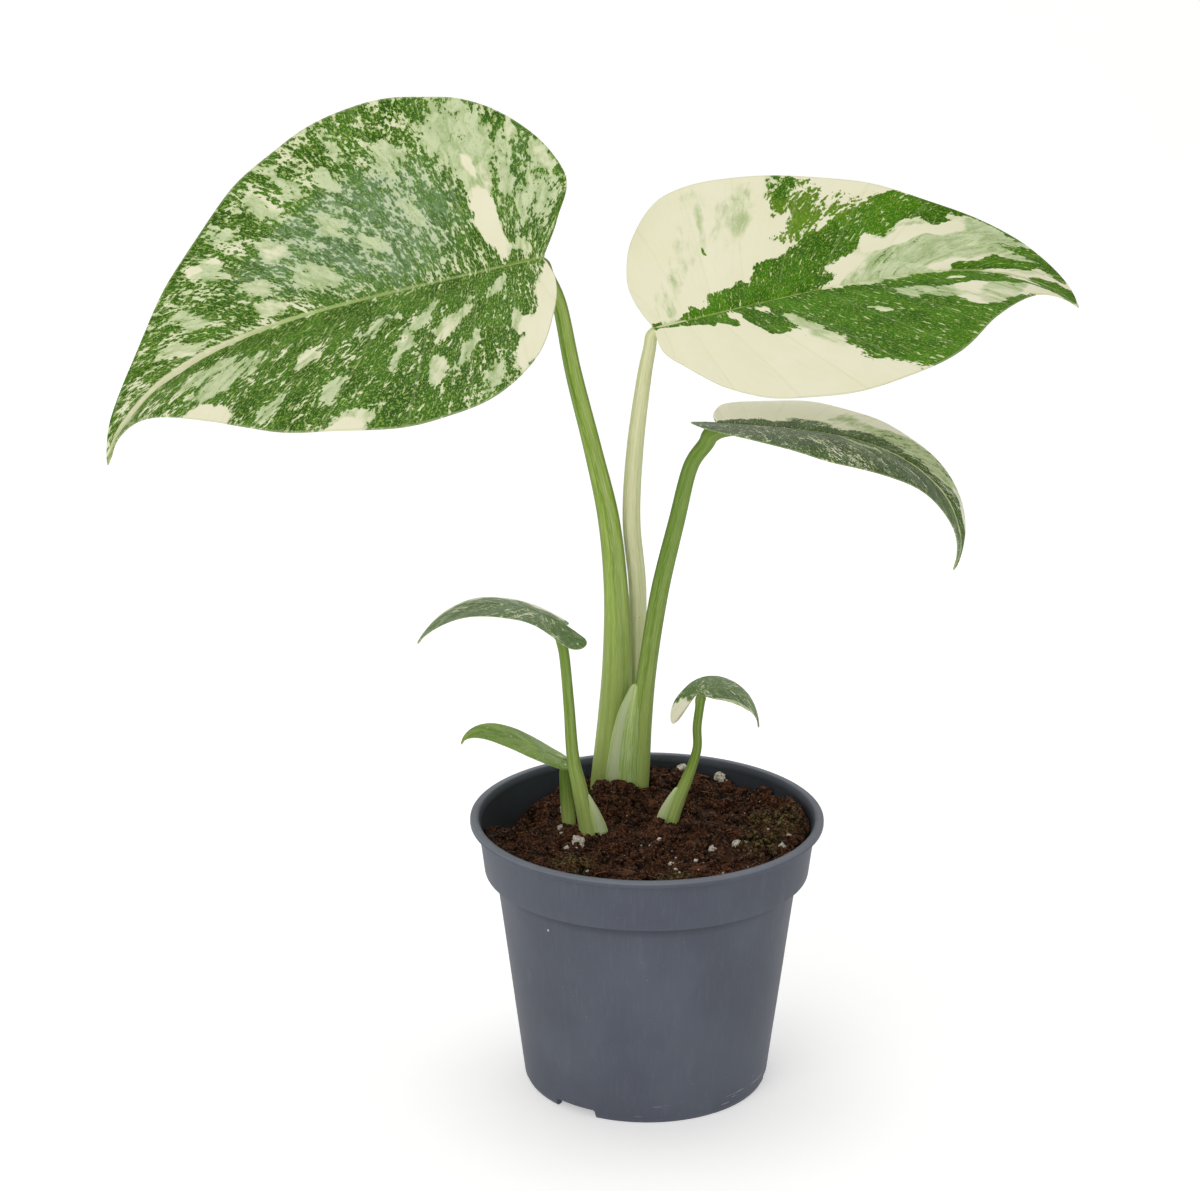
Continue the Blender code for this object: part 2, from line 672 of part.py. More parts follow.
def blade_point(leaf, frames, along, across, side):
    """The point of the blade's middle surface at shares of its length and of its half width."""
    point, forward, right, up = frame_at(frames, along)
    half = 1 if side > 0 else 0
    width = leaf["widths"][half]
    fold = math.radians(leaf["fold"][half])
    curl = math.radians(leaf["curl"][half])
    if curl == 0.0:
        out = width * across * math.cos(fold)
        lift = width * across * math.sin(fold)
    else:
        out = width / curl * (math.sin(fold + curl * across) - math.sin(fold))
        lift = width / curl * (math.cos(fold) - math.cos(fold + curl * across))
    return point + forward * (min(along, 0.0) * leaf["length"]) + right * (side * out) + up * lift


def outline_point(half, share):
    """Shares of length and half width at a share of the way round half of the outline."""
    knots = [Vector((a, b, 0.0)) for a, b in half]
    knots = [2 * knots[0] - knots[1]] + knots + [2 * knots[-1] - knots[-2]]
    place = share * (len(half) - 1)
    step = min(int(place), len(half) - 2)
    t = place - step
    a, b, c, d = knots[step : step + 4]
    bend = (2 * a - 5 * b + 4 * c - d) * t**2 + (3 * b - a - 3 * c + d) * t**3
    spot = 0.5 * (2 * b + (c - a) * t + bend)
    return spot.x, max(spot.y, 0.0)


def blade(name, leaf, group, key):
    """A leaf blade: a grid whose rows follow the side veins, bent along the midrib and thickened."""
    frames = midrib(leaf)
    rows = leaf["rows"]
    columns = leaf["columns"]

    def build(shape):
        bmesh.ops.create_grid(shape, x_segments=2 * columns, y_segments=rows, size=1.0)
        for corner in shape.verts:
            side = -1 if corner.co.x < 0 else 1
            across = round(abs(corner.co.x) * columns) / columns
            share = (corner.co.y + 1) / 2
            half = 0 if side < 0 else 1
            margin, width = outline_point(leaf["halves"][half], share)
            root = share**ROOT_CROWDING
            along = root + (margin - root) * across**VEIN_SWEEP
            corner.co = blade_point(leaf, frames, along, width * across, side)
            corner.co.z -= sag(leaf, half, width * across, share)
        bmesh.ops.remove_doubles(shape, verts=shape.verts, dist=2 * MERGE)
        bmesh.ops.dissolve_degenerate(shape, dist=2 * MERGE, edges=shape.edges)

    thing = add_object(name, mesh_from(build), group, key)
    solidify = thing.modifiers.new("thickness", "SOLIDIFY")
    solidify.thickness = BLADE_THICKNESS
    solidify.offset = 0.0
    solidify.use_rim = True
    return thing


# ---- the whole plant ----


def add_plant(ball, parts, cutters):
    """Stem bases, stalks and blades, with room for the buried ends in the root ball."""
    for name in STEM_BASES:
        stem_base(name, parts, "stem")
        hollow_for(ball, lambda label, group: stem_base(label, group, None, GAP), name + "_cutter", cutters)
    for title, leaf in LEAVES.items():
        cream = title == "large_right"
        stalk(title + "_stalk", leaf, parts, "cream_stalk" if cream else "stalk")
        blade(title + "_blade", leaf, parts, "cream_blade" if cream else "blade")
        hollow_for(ball, lambda label, group, one=leaf: stalk(label, one, group, None, GAP),
                   title + "_stalk_cutter", cutters)


def main():
    clear_scene()
    parts = add_collection("potted_monstera")
    cutters = add_collection("cutters")
    add_pot(parts, cutters)
    ball = add_root_ball(parts)
    add_plant(ball, parts, cutters)
    add_perlite(ball, parts, cutters)


main()
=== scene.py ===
import math

import bmesh
import bpy
import numpy as np
from mathutils import Matrix, Vector, noise


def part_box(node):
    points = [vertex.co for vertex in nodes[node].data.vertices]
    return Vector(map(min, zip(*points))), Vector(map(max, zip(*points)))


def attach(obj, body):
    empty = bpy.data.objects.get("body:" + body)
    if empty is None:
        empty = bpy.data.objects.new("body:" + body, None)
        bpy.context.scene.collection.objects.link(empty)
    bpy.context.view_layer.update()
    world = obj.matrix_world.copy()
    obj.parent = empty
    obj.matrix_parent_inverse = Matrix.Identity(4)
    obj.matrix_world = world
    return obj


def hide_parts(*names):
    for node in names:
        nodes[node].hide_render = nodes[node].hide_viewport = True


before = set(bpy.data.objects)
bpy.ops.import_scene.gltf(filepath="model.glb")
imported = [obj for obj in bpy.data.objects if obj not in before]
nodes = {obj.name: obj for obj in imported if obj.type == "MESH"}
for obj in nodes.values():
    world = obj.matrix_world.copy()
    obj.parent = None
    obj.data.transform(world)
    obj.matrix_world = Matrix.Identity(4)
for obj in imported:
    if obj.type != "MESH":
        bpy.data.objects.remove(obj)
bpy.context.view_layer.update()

dice = np.random.default_rng(12)
# without a seed the vector noise would start from the clock
noise.seed_set(12)
print("frame loaded with", len(nodes), "nodes")


def paint(code):
    # "#rrggbb" as the linear colour that Blender's sockets take
    shades = [int(code[place:place + 2], 16) / 255 for place in (1, 3, 5)]
    linear = [shade / 12.92 if shade <= 0.04045 else ((shade + 0.055) / 1.055) ** 2.4 for shade in shades]
    return (*linear, 1.0)


class Socket:
    # an output of a shader node, ready for plain arithmetic
    def __init__(self, finish, out):
        self.finish = finish
        self.out = out

    def maths(self, operation, *values):
        return self.finish.node("ShaderNodeMath", {"operation": operation}, dict(enumerate(values)))

    def __add__(self, other):
        return self.maths("ADD", self, other)

    def __radd__(self, other):
        return self.maths("ADD", other, self)

    def __sub__(self, other):
        return self.maths("SUBTRACT", self, other)

    def __rsub__(self, other):
        return self.maths("SUBTRACT", other, self)

    def __mul__(self, other):
        return self.maths("MULTIPLY", self, other)

    def __rmul__(self, other):
        return self.maths("MULTIPLY", other, self)

    def __truediv__(self, other):
        return self.maths("DIVIDE", self, other)

    def __pow__(self, other):
        return self.maths("POWER", self, other)

    def __abs__(self):
        return self.maths("ABSOLUTE", self)


class Finish:
    # one material and the nodes that it is made of
    def __init__(self, name, settings):
        self.material = bpy.data.materials.new(name)
        self.material.use_nodes = True
        self.tree = self.material.node_tree
        self.shader = self.tree.nodes["Principled BSDF"]
        for title, value in settings.items():
            self.shader.inputs[title].default_value = value

    def node(self, kind, settings=None, sockets=None, out=0):
        made = self.tree.nodes.new(kind)
        for title, value in (settings or {}).items():
            setattr(made, title, value)
        for title, value in (sockets or {}).items():
            if isinstance(value, Socket):
                self.tree.links.new(value.out, made.inputs[title])
            else:
                made.inputs[title].default_value = value
        return Socket(self, made.outputs[out])

    def feed(self, title, value):
        self.tree.links.new(value.out, self.shader.inputs[title])

    def attribute(self, name, out="Vector"):
        return self.node("ShaderNodeAttribute", {"attribute_name": name}, out=out)

    def parts(self, vector):
        split = self.node("ShaderNodeSeparateXYZ", None, {0: vector}).out.node
        return [Socket(self, output) for output in split.outputs]

    def objectPlace(self):
        return self.node("ShaderNodeTexCoord", out="Object")

    def scaled(self, vector, factors, offset=(0.0, 0.0, 0.0)):
        settings = {"operation": "MULTIPLY_ADD"}
        return self.node("ShaderNodeVectorMath", settings, {0: vector, 1: factors, 2: offset})

    def speckle(self, vector, scale, detail=2.0, roughness=0.5, distortion=0.0):
        values = {"Vector": vector, "Scale": scale, "Detail": detail, "Roughness": roughness,
                  "Distortion": distortion}
        return self.node("ShaderNodeTexNoise", None, values)

    def cells(self, vector, scale):
        return self.node("ShaderNodeTexVoronoi", None, {"Vector": vector, "Scale": scale}, "Distance")

    def distance(self, vector, centre):
        offset = self.scaled(vector, (1.0, 1.0, 1.0), [-value for value in centre])
        return self.node("ShaderNodeVectorMath", {"operation": "LENGTH"}, {0: offset}, out=1)

    def total(self, first, second):
        return self.node("ShaderNodeVectorMath", {"operation": "ADD"}, {0: first, 1: second})

    # 0 below low, 1 above high, smooth between; low above high turns it round
    def rise(self, value, low, high):
        flipped = low > high
        ends = {0: value, 1: min(low, high), 2: max(low, high),
                3: 1.0 if flipped else 0.0, 4: 0.0 if flipped else 1.0}
        return self.node("ShaderNodeMapRange", {"interpolation_type": "SMOOTHSTEP"}, ends)

    def blend(self, mask, first, second):
        first, second = (paint(colour) if isinstance(colour, str) else colour for colour in (first, second))
        settings = {"data_type": "RGBA", "clamp_factor": True}
        return self.node("ShaderNodeMix", settings, {0: mask, 6: first, 7: second}, out=2)

    def relief(self, height, distance, strength=1.0):
        values = {"Height": height, "Distance": distance, "Strength": strength}
        self.feed("Normal", self.node("ShaderNodeBump", None, values))


def placeMesh(name, shape, finish=None):
    mesh = bpy.data.meshes.new(name)
    shape.to_mesh(mesh)
    shape.free()
    if finish:
        mesh.polygons.foreach_set("use_smooth", [True] * len(mesh.polygons))
        mesh.materials.append(finish.material)
    piece = bpy.data.objects.new(name, mesh)
    bpy.context.scene.collection.objects.link(piece)
    return piece


def addPiece(name, shape, finish, replaced):
    piece = placeMesh(name, shape, finish)
    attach(piece, "root")
    if replaced:
        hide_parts(*replaced)
    return piece


# extrudes open edges; gives the new edges and their corners
def drawnOut(shape, edges):
    made = bmesh.ops.extrude_edge_only(shape, edges=edges)["geom"]
    corners = [item for item in made if isinstance(item, bmesh.types.BMVert)]
    return [item for item in made if isinstance(item, bmesh.types.BMEdge)], corners


# curve through points, read at shares of the way from the first to the last
def curveThrough(points, shares):
    points = np.array(points, float)
    knots = np.vstack([2 * points[0] - points[1], points, 2 * points[-1] - points[-2]])
    place = np.clip(shares, 0.0, 1.0) * (len(points) - 1)
    step = np.minimum(place.astype(int), len(points) - 2)
    t = (place - step)[..., None]
    a, b, c, d = (knots[step + ahead] for ahead in range(4))
    return 0.5 * (2 * b + (c - a) * t + (2 * a - 5 * b + 4 * c - d) * t**2 + (3 * b - a - 3 * c + d) * t**3)


def smooth(value, low, high):
    t = np.clip((value - low) / (high - low), 0.0, 1.0)
    return t * t * (3 - 2 * t)


# a grid that wraps round into a closed skin: row by row from one end to the other, column by column around
def wrappedSkin(positions, layers, merge=0.000002):
    rows, around = positions.shape[0] - 1, positions.shape[1]
    shape = bmesh.new()
    bmesh.ops.create_grid(shape, x_segments=around, y_segments=rows, size=1.0)
    keys = {name: shape.verts.layers.float_vector.new(name) for name in layers}
    for corner in shape.verts:
        column = round((corner.co.x + 1) / 2 * around) % around
        row = round((corner.co.y + 1) / 2 * rows)
        corner.co = positions[row, column]
        for name, key in keys.items():
            corner[key] = layers[name][row, column]
    bmesh.ops.remove_doubles(shape, verts=shape.verts, dist=merge)
    bmesh.ops.dissolve_degenerate(shape, dist=merge, edges=shape.edges)
    bmesh.ops.recalc_face_normals(shape, faces=shape.faces)
    return shape


# ground, light and camera
studio = {
    "floorWidth": 6.0,
    "floorFront": -2.5,
    "wallPlace": 1.9,
    "wallHeight": 3.0,
    "bendRadius": 0.9,
    "bendSteps": 16,
    "floorColour": "#f4f4f2",
    "floorGlow": 0.36,
    "cameraPlace": (-0.0159, -0.983, 0.488),
    "cameraPitch": 17.77,
    "lens": 93.3,
    # name, place, aimed at, size, watts, colour
    "lamps": [
        ("keyLamp", (-0.90, -1.50, 1.00), (0.0, 0.0, 0.16), 1.4, 10.6, (1.0, 0.985, 0.96)),
        ("frontLamp", (0.10, -1.90, 0.40), (0.0, 0.0, 0.12), 1.0, 2.2, (1.0, 1.0, 1.0)),
        ("fillLamp", (1.20, -1.10, 0.80), (0.0, 0.0, 0.16), 1.3, 2.2, (0.97, 0.985, 1.0)),
        ("topLamp", (-0.1, 0.20, 1.6), (0.0, 0.0, 0.2), 1.0, 6.2, (1.0, 1.0, 1.0)),
    ],
    "skyStrength": 0.40,
}


def addStage():
    shape = bmesh.new()
    first = shape.verts.new((-studio["floorWidth"] / 2, studio["floorFront"], 0.0))
    second = shape.verts.new((studio["floorWidth"] / 2, studio["floorFront"], 0.0))
    edge = shape.edges.new((first, second))
    bend = studio["bendRadius"]
    route = [(studio["wallPlace"] - bend, 0.0)]
    for step in range(1, studio["bendSteps"] + 1):
        turn = math.radians(90 * step / studio["bendSteps"])
        route.append((studio["wallPlace"] - bend + bend * math.sin(turn), bend - bend * math.cos(turn)))
    route.append((studio["wallPlace"], studio["wallHeight"]))
    edges = [edge]
    for depth, height in route:
        edges, corners = drawnOut(shape, edges)
        for corner in corners:
            corner.co.y = depth
            corner.co.z = height
    bmesh.ops.recalc_face_normals(shape, faces=shape.faces)
    paper = Finish("palePaper", {
        "Roughness": 0.85, "Specular IOR Level": 0.2, "Base Color": paint(studio["floorColour"]),
        "Emission Color": (1.0, 1.0, 1.0, 1.0), "Emission Strength": studio["floorGlow"],
    })
    placeMesh("studioSweep", shape, paper)


def addLamps():
    for name, place, target, size, watts, colour in studio["lamps"]:
        data = bpy.data.lights.new(name, "AREA")
        data.shape = "DISK"
        data.size = size
        data.energy = watts
        data.color = colour
        lamp = bpy.data.objects.new(name, data)
        lamp.location = place
        lamp.rotation_euler = (Vector(target) - Vector(place)).to_track_quat("-Z", "Y").to_euler()
        bpy.context.scene.collection.objects.link(lamp)
    world = bpy.data.worlds.new("softRoom")
    world.use_nodes = True
    sky = world.node_tree.nodes["Background"]
    sky.inputs["Color"].default_value = (1.0, 1.0, 1.0, 1.0)
    sky.inputs["Strength"].default_value = studio["skyStrength"]
    bpy.context.scene.world = world
    bpy.context.scene.view_settings.view_transform = "Standard"


def addCamera():
    data = bpy.data.cameras.new("camera")
    data.lens = studio["lens"]
    data.sensor_width = 36.0
    data.clip_start = 0.01
    camera = bpy.data.objects.new("camera", data)
    camera.location = studio["cameraPlace"]
    camera.rotation_euler = (math.radians(90 - studio["cameraPitch"]), 0.0, 0.0)
    bpy.context.scene.collection.objects.link(camera)
    bpy.context.scene.camera = camera


addStage()
addLamps()
addCamera()
print("studio set")


# the nursery pot; its height and rim come from the frame
pot = {
    "wall": 0.0011,
    "lipWidth": 0.0026,
    "lipThickness": 0.0019,
    "collarTop": 0.0573,
    "collarFoot": (0.0553, 0.0762),
    "bodyTop": (0.0515, 0.0752),
    "footRadius": 0.0420,
    "footRing": 0.0028,
    "footBevel": (0.0008, 0.0016),
    "draft": 0.0004,
    "floorUnderside": 0.0030,
    "floorTop": 0.0042,
    "centrePad": 0.0090,
    "steps": 192,
    "notchAngles": (-125.7, -5.7, 114.3),
    "notchWidth": 0.0160,
    "notchHeight": 0.0030,
    "notchReach": 0.0110,
    "notchRounding": 0.0009,
    "drainHoles": 6,
    "drainRadius": 0.0035,
    "drainCircle": 0.0240,
    "nick": (-0.0331, -0.0384, 0.0692),
    # dents and flats of a thin wall, in metres; none this near the foot and the top
    "outOfRound": 0.00018,
    "dentSpan": (0.006, 0.004),
}
potLow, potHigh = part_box("pot")
rimRadius = potHigh.x
potHeight = potHigh.z


# points of a corner rounded with an arc, between the lines that meet there
def roundedCorner(before, corner, after, radius, steps=4):
    corner = Vector(corner)
    back = (Vector(before) - corner).normalized()
    ahead = (Vector(after) - corner).normalized()
    half = back.angle(ahead) / 2
    reach = radius / math.tan(half)
    centre = corner + (back + ahead).normalized() * (radius / math.sin(half))
    start = corner + back * reach - centre
    turn = math.pi - 2 * half
    sign = 1 if (-back).cross(ahead) > 0 else -1
    turns = [Matrix.Rotation(sign * turn * step / steps, 2) for step in range(steps + 1)]
    return [tuple(centre + turned @ start) for turned in turns]


def potProfile():
    lipLow = potHeight - pot["lipThickness"]
    wall = pot["wall"]
    collarRadius, collarHeight = pot["collarFoot"]
    bodyRadius, bodyHeight = pot["bodyTop"]
    foot = pot["footRadius"]
    bevelWidth, bevelHeight = pot["footBevel"]
    # radius, height, rounding; from the middle of the floor up the inside, over the lip and down again
    corners = [
        (foot - wall, pot["floorTop"], 0.0012),
        (bodyRadius - wall, bodyHeight + wall, 0.0012),
        (collarRadius - wall, collarHeight + wall, 0.0008),
        (pot["collarTop"] - wall, lipLow - pot["draft"], 0.0008),
        (rimRadius - pot["lipWidth"] - 0.0002, potHeight, 0.0006),
        (rimRadius, potHeight, 0.0006),
        (rimRadius, lipLow, 0.0004),
        (pot["collarTop"], lipLow, 0.0003),
        (collarRadius, collarHeight, 0.0004),
        (bodyRadius, bodyHeight, 0.0010),
        (foot, bevelHeight, 0.0004),
        (foot - bevelWidth, 0.0, 0.0003),
        (foot - pot["footRing"], 0.0, 0.0003),
        (foot - pot["footRing"] - pot["draft"], pot["floorUnderside"], 0.0006),
        (pot["centrePad"] + pot["draft"], pot["floorUnderside"], 0.0006),
        (pot["centrePad"], 0.0, 0.0004),
    ]
    ends = [(0.0, pot["floorTop"])] + [corner[:2] for corner in corners] + [(0.0, 0.0)]
    profile = [ends[0]]
    for place, (x, z, rounding) in enumerate(corners):
        profile += roundedCorner(ends[place], (x, z), ends[place + 2], rounding)
    return profile + [ends[-1]]


# more points on the long straight walls, so that dents can show there
def refined(profile, longest=0.0035):
    fine = [profile[0]]
    for first, second in zip(profile, profile[1:]):
        pieces = max(1, math.ceil(math.dist(first, second) / longest))
        for piece in range(1, pieces + 1):
            fine.append(tuple(Vector(first).lerp(Vector(second), piece / pieces)))
    return fine


def potCutters():
    shape = bmesh.new()
    for angle in pot["notchAngles"]:
        turn = Matrix.Rotation(math.radians(angle), 4, "Z")
        place = Matrix.Translation((pot["footRadius"], 0.0, 0.0))
        size = Matrix.Diagonal((pot["notchReach"], pot["notchWidth"], 2 * pot["notchHeight"], 1.0))
        bmesh.ops.create_cube(shape, size=1.0, matrix=turn @ place @ size)
    bmesh.ops.bevel(shape, geom=list(shape.edges), offset=pot["notchRounding"], offset_type="OFFSET",
                    segments=3, profile=0.5, affect="EDGES", material=-1)
    for count in range(pot["drainHoles"]):
        angle = math.radians(30 + 360 / pot["drainHoles"] * count)
        place = (pot["drainCircle"] * math.cos(angle), pot["drainCircle"] * math.sin(angle), pot["floorTop"])
        bmesh.ops.create_cone(shape, cap_ends=True, segments=32, radius1=pot["drainRadius"],
                              radius2=pot["drainRadius"], depth=0.006, matrix=Matrix.Translation(place))
    return placeMesh("potCutters", shape)


def cutPot(shape):
    blank = placeMesh("rawPot", shape)
    cutter = potCutters()
    cut = blank.modifiers.new("notches", "BOOLEAN")
    cut.operation = "DIFFERENCE"
    cut.solver = "EXACT"
    cut.object = cutter
    bpy.context.view_layer.update()
    evaluated = blank.evaluated_get(bpy.context.evaluated_depsgraph_get())
    shape = bmesh.new()
    shape.from_mesh(evaluated.to_mesh())
    evaluated.to_mesh_clear()
    for thing in (blank, cutter):
        bpy.data.objects.remove(thing, do_unlink=True)
    return shape


def potFinish():
    finish = Finish("greyNurseryPlastic", {"Specular IOR Level": 0.16})
    place = finish.objectPlace()
    x, y, z = finish.parts(place)
    broad = finish.speckle(place, 32.0, 3.0, 0.5)
    grain = finish.speckle(place, 1100.0, 3.0, 0.6)
    haze = finish.speckle(finish.scaled(place, (1.0, 1.0, 0.35)), 170.0, 4.0, 0.6)
    # faint flow lines of the moulding, up and down the wall
    upright = finish.speckle(finish.scaled(place, (1.0, 1.0, 0.04)), 900.0, 2.0, 0.55)
    base = finish.blend(finish.rise(broad, 0.35, 0.65), "#4f535e", "#555a65")
    base = finish.blend(finish.rise(haze, 0.55, 0.72) * 0.16, base, "#6a6e79")
    base = finish.blend(finish.rise(upright, 0.50, 0.72) * 0.09, base, "#6d727d")
    base = finish.blend(finish.rise(grain, 0.66, 0.76) * 0.22, base, "#8c909a")
    # a few short pale scratches near the foot
    scratch = finish.speckle(finish.scaled(place, (70.0, 70.0, 1500.0)), 1.0, 1.0, 0.4, 0.4)
    where = finish.speckle(place, 75.0, 2.0, 0.5)
    marks = finish.rise(scratch, 0.675, 0.705) * finish.rise(where, 0.54, 0.62) * finish.rise(z, 0.010, 0.004)
    base = finish.blend(marks * 0.8, base, "#aaadb3")
    chips = finish.rise(finish.cells(place, 330.0), 0.050, 0.030)
    chips = chips * finish.rise(finish.speckle(place, 120.0, 1.0), 0.56, 0.60)
    base = finish.blend(chips * 0.75, base, "#aeb1b6")
    # painted shade in the corners under the collar and under the lip
    corner = pot["bodyTop"][1]
    lipLow = potHeight - pot["lipThickness"]
    ledgeShade = finish.rise(z, corner - 0.0042, corner - 0.0003)
    ledgeShade = ledgeShade * finish.rise(z, corner + 0.0012, corner + 0.0008)
    lipShade = finish.rise(z, lipLow - 0.0016, lipLow - 0.0002) * finish.rise(z, lipLow + 0.0003, lipLow)
    base = finish.blend(ledgeShade * 0.42, base, "#2f3238")
    base = finish.blend(lipShade * 0.35, base, "#2f3238")
    # one small nick on the body
    away = finish.distance(place, pot["nick"]) + 0.0012 * (grain - 0.5)
    base = finish.blend(finish.rise(away, 0.0011, 0.0007) * finish.rise(haze, 0.44, 0.52), base, "#23252a")
    base = finish.blend(finish.rise(away, 0.0005, 0.0003), base, "#c6c9ce")
    # lighter top edge of the lip: a painted highlight, with some wear
    radius = (x * x + y * y) ** 0.5
    edge = finish.rise(z, potHeight - 0.0010, potHeight - 0.0002)
    edge = edge * finish.rise(radius, rimRadius - 0.0030, rimRadius - 0.0014)
    base = finish.blend(edge * (0.30 + 0.40 * broad), base, "#8a8f99")
    # painted shade darkens the inside, with peat dust near the soil
    collarRadius, collarHeight = pot["collarFoot"]
    taper = (pot["collarTop"] - collarRadius) / (potHeight - pot["lipThickness"] - collarHeight)
    fromWall = radius - (z - collarHeight) * taper
    middle = collarRadius - pot["wall"] / 2
    inner = finish.rise(fromWall, middle + 0.0003, middle - 0.0005) * finish.rise(z, 0.078, 0.080)
    # painted shade on the inside wall
    base = finish.blend(inner * 0.62, base, "#1c2124")
    dust = finish.rise(finish.speckle(place, 420.0, 4.0, 0.7), 0.60, 0.70)
    base = finish.blend(dust * inner * 0.6, base, "#4a3427")
    finish.feed("Base Color", base)
    finish.feed("Roughness", 0.46 + 0.10 * haze + 0.10 * marks)
    finish.relief(0.5 * grain + 0.5 * upright + 0.3 * haze - 0.5 * marks, 0.00009, 0.45)
    return finish


def addPot():
    shape = bmesh.new()
    corners = [shape.verts.new((radius, 0.0, height)) for radius, height in refined(potProfile())]
    edges = [shape.edges.new(pair) for pair in zip(corners, corners[1:])]
    bmesh.ops.spin(shape, geom=corners + edges, cent=(0.0, 0.0, 0.0), axis=(0.0, 0.0, 1.0),
                   angle=math.tau, steps=pot["steps"], use_merge=True)
    bmesh.ops.remove_doubles(shape, verts=shape.verts, dist=0.000005)
    bmesh.ops.recalc_face_normals(shape, faces=shape.faces)
    shape = cutPot(shape)
    # the thin wall is not quite round, and has a faint dent or two
    lowest, highest = pot["dentSpan"][0], potHeight - pot["dentSpan"][1]
    for corner in shape.verts:
        away = math.hypot(corner.co.x, corner.co.y)
        if away > pot["centrePad"] and lowest < corner.co.z < highest:
            fade = min(1.0, (corner.co.z - lowest) / 0.012, (highest - corner.co.z) / 0.008)
            wobble = noise.noise(Vector((corner.co.x, corner.co.y, corner.co.z * 0.6)) * 42.0)
            push = pot["outOfRound"] * (wobble - 0.4) * fade / away
            corner.co.x += corner.co.x * push
            corner.co.y += corner.co.y * push
    piece = addPiece("nurseryPot", shape, potFinish(), ["pot"])
    piece.data.set_sharp_from_angle(angle=math.radians(40))


addPot()
print("pot made")


# the soil: its mounds repeat the solid's, and finer relief lies on them
soil = {
    "level": 0.0868,
    # centre x, y, height, spread
    "swells": [
        (-0.006, 0.026, 0.0034, 0.015),
        (0.028, -0.006, 0.0014, 0.022),
        (-0.043, 0.022, -0.0085, 0.015),
        (-0.005, 0.055, 0.0050, 0.024),
        (0.022, 0.050, 0.0030, 0.014),
        (-0.036, -0.030, 0.0012, 0.016),
        (0.053, 0.010, 0.0042, 0.020),
        (0.049, 0.012, 0.0024, 0.008),
        (-0.0535, -0.004, 0.0034, 0.013),
        (-0.040, -0.034, 0.0014, 0.012),
    ],
    "grid": 290,
    # room left to the pot's wall, and the heights of the loops down to the floor
    "gap": 0.0006,
    "skirt": (0.0776, 0.0758, 0.0300, 0.0048),
    # broad unevenness, then clumps: how many per metre, and their height
    "relief": (130, 0.0016),
    "clumps": [(145, 0.0034), (350, 0.0017), (800, 0.0007)],
    # single clods: centre x, y, size
    "lumps": [
        (-0.0116, 0.0256, 0.0052), (-0.0062, 0.0258, 0.0030), (-0.0142, 0.0220, 0.0022),
        (0.0395, 0.0310, 0.0030), (0.0465, 0.0170, 0.0028), (0.0130, 0.0420, 0.0028),
        (0.0270, 0.0230, 0.0030), (-0.0470, -0.0080, 0.0026), (-0.0420, 0.0080, 0.0030),
        (0.0030, -0.0120, 0.0024), (0.0330, -0.0060, 0.0028), (0.0180, 0.0020, 0.0026),
    ],
    # where green and yellow moss grows: centre x, y, spread
    "moss": [(0.044, 0.004, 0.015), (0.038, -0.012, 0.012), (-0.026, -0.026, 0.011), (0.010, -0.040, 0.010)],
    # how the clods' edges wander, how much looser some places are, and how deep the gaps go
    "wander": (420, 0.0011),
    "looseness": (75, 0.75, 0.9),
    "gapLevel": 0.32,
    "edgeDip": 0.0012,
    # how many, and their least and greatest size
    "crumbs": 2600, "crumbSizes": (0.00025, 0.00075),
    "clods": 430, "clodSizes": (0.0007, 0.0017),
    "fibres": 260, "fibreLengths": (0.0020, 0.0065), "fibreRadii": (0.00007, 0.00020), "fibreSteps": 5,
}


def soilHeight(x, y, fine=True):
    height = soil["level"]
    for centreX, centreY, lift, spread in soil["swells"]:
        away = math.hypot(x - centreX, y - centreY) / spread
        height += lift * math.exp(-away * away)
    lumps, lift = soil["relief"]
    height += lift * noise.noise(Vector((x, y, 0.0)) * lumps)
    return height + soilClumps(x, y) if fine else height


# clods and the gaps between them
def soilClumps(x, y):
    height = 0.0
    waves, reach = soil["wander"]
    bent = Vector((x, y, 0.0)) + reach * noise.noise_vector(Vector((x, y, 0.3)) * waves)
    waves, least, spread = soil["looseness"]
    loose = least + spread * noise.noise(Vector((x, y, 0.6)) * waves)
    for clumps, lift in soil["clumps"]:
        near = noise.voronoi(Vector((bent.x, bent.y, 0.0)) * clumps)[0][0]
        height += lift * loose * (soil["gapLevel"] - near * near)
    return height


# inside of the pot's wall at a height
def wallRadius(height):
    collarRadius, collarHeight = pot["collarFoot"]
    share = (height - collarHeight) / (potHeight - pot["lipThickness"] - collarHeight)
    return collarRadius + (pot["collarTop"] - collarRadius) * share - pot["wall"]


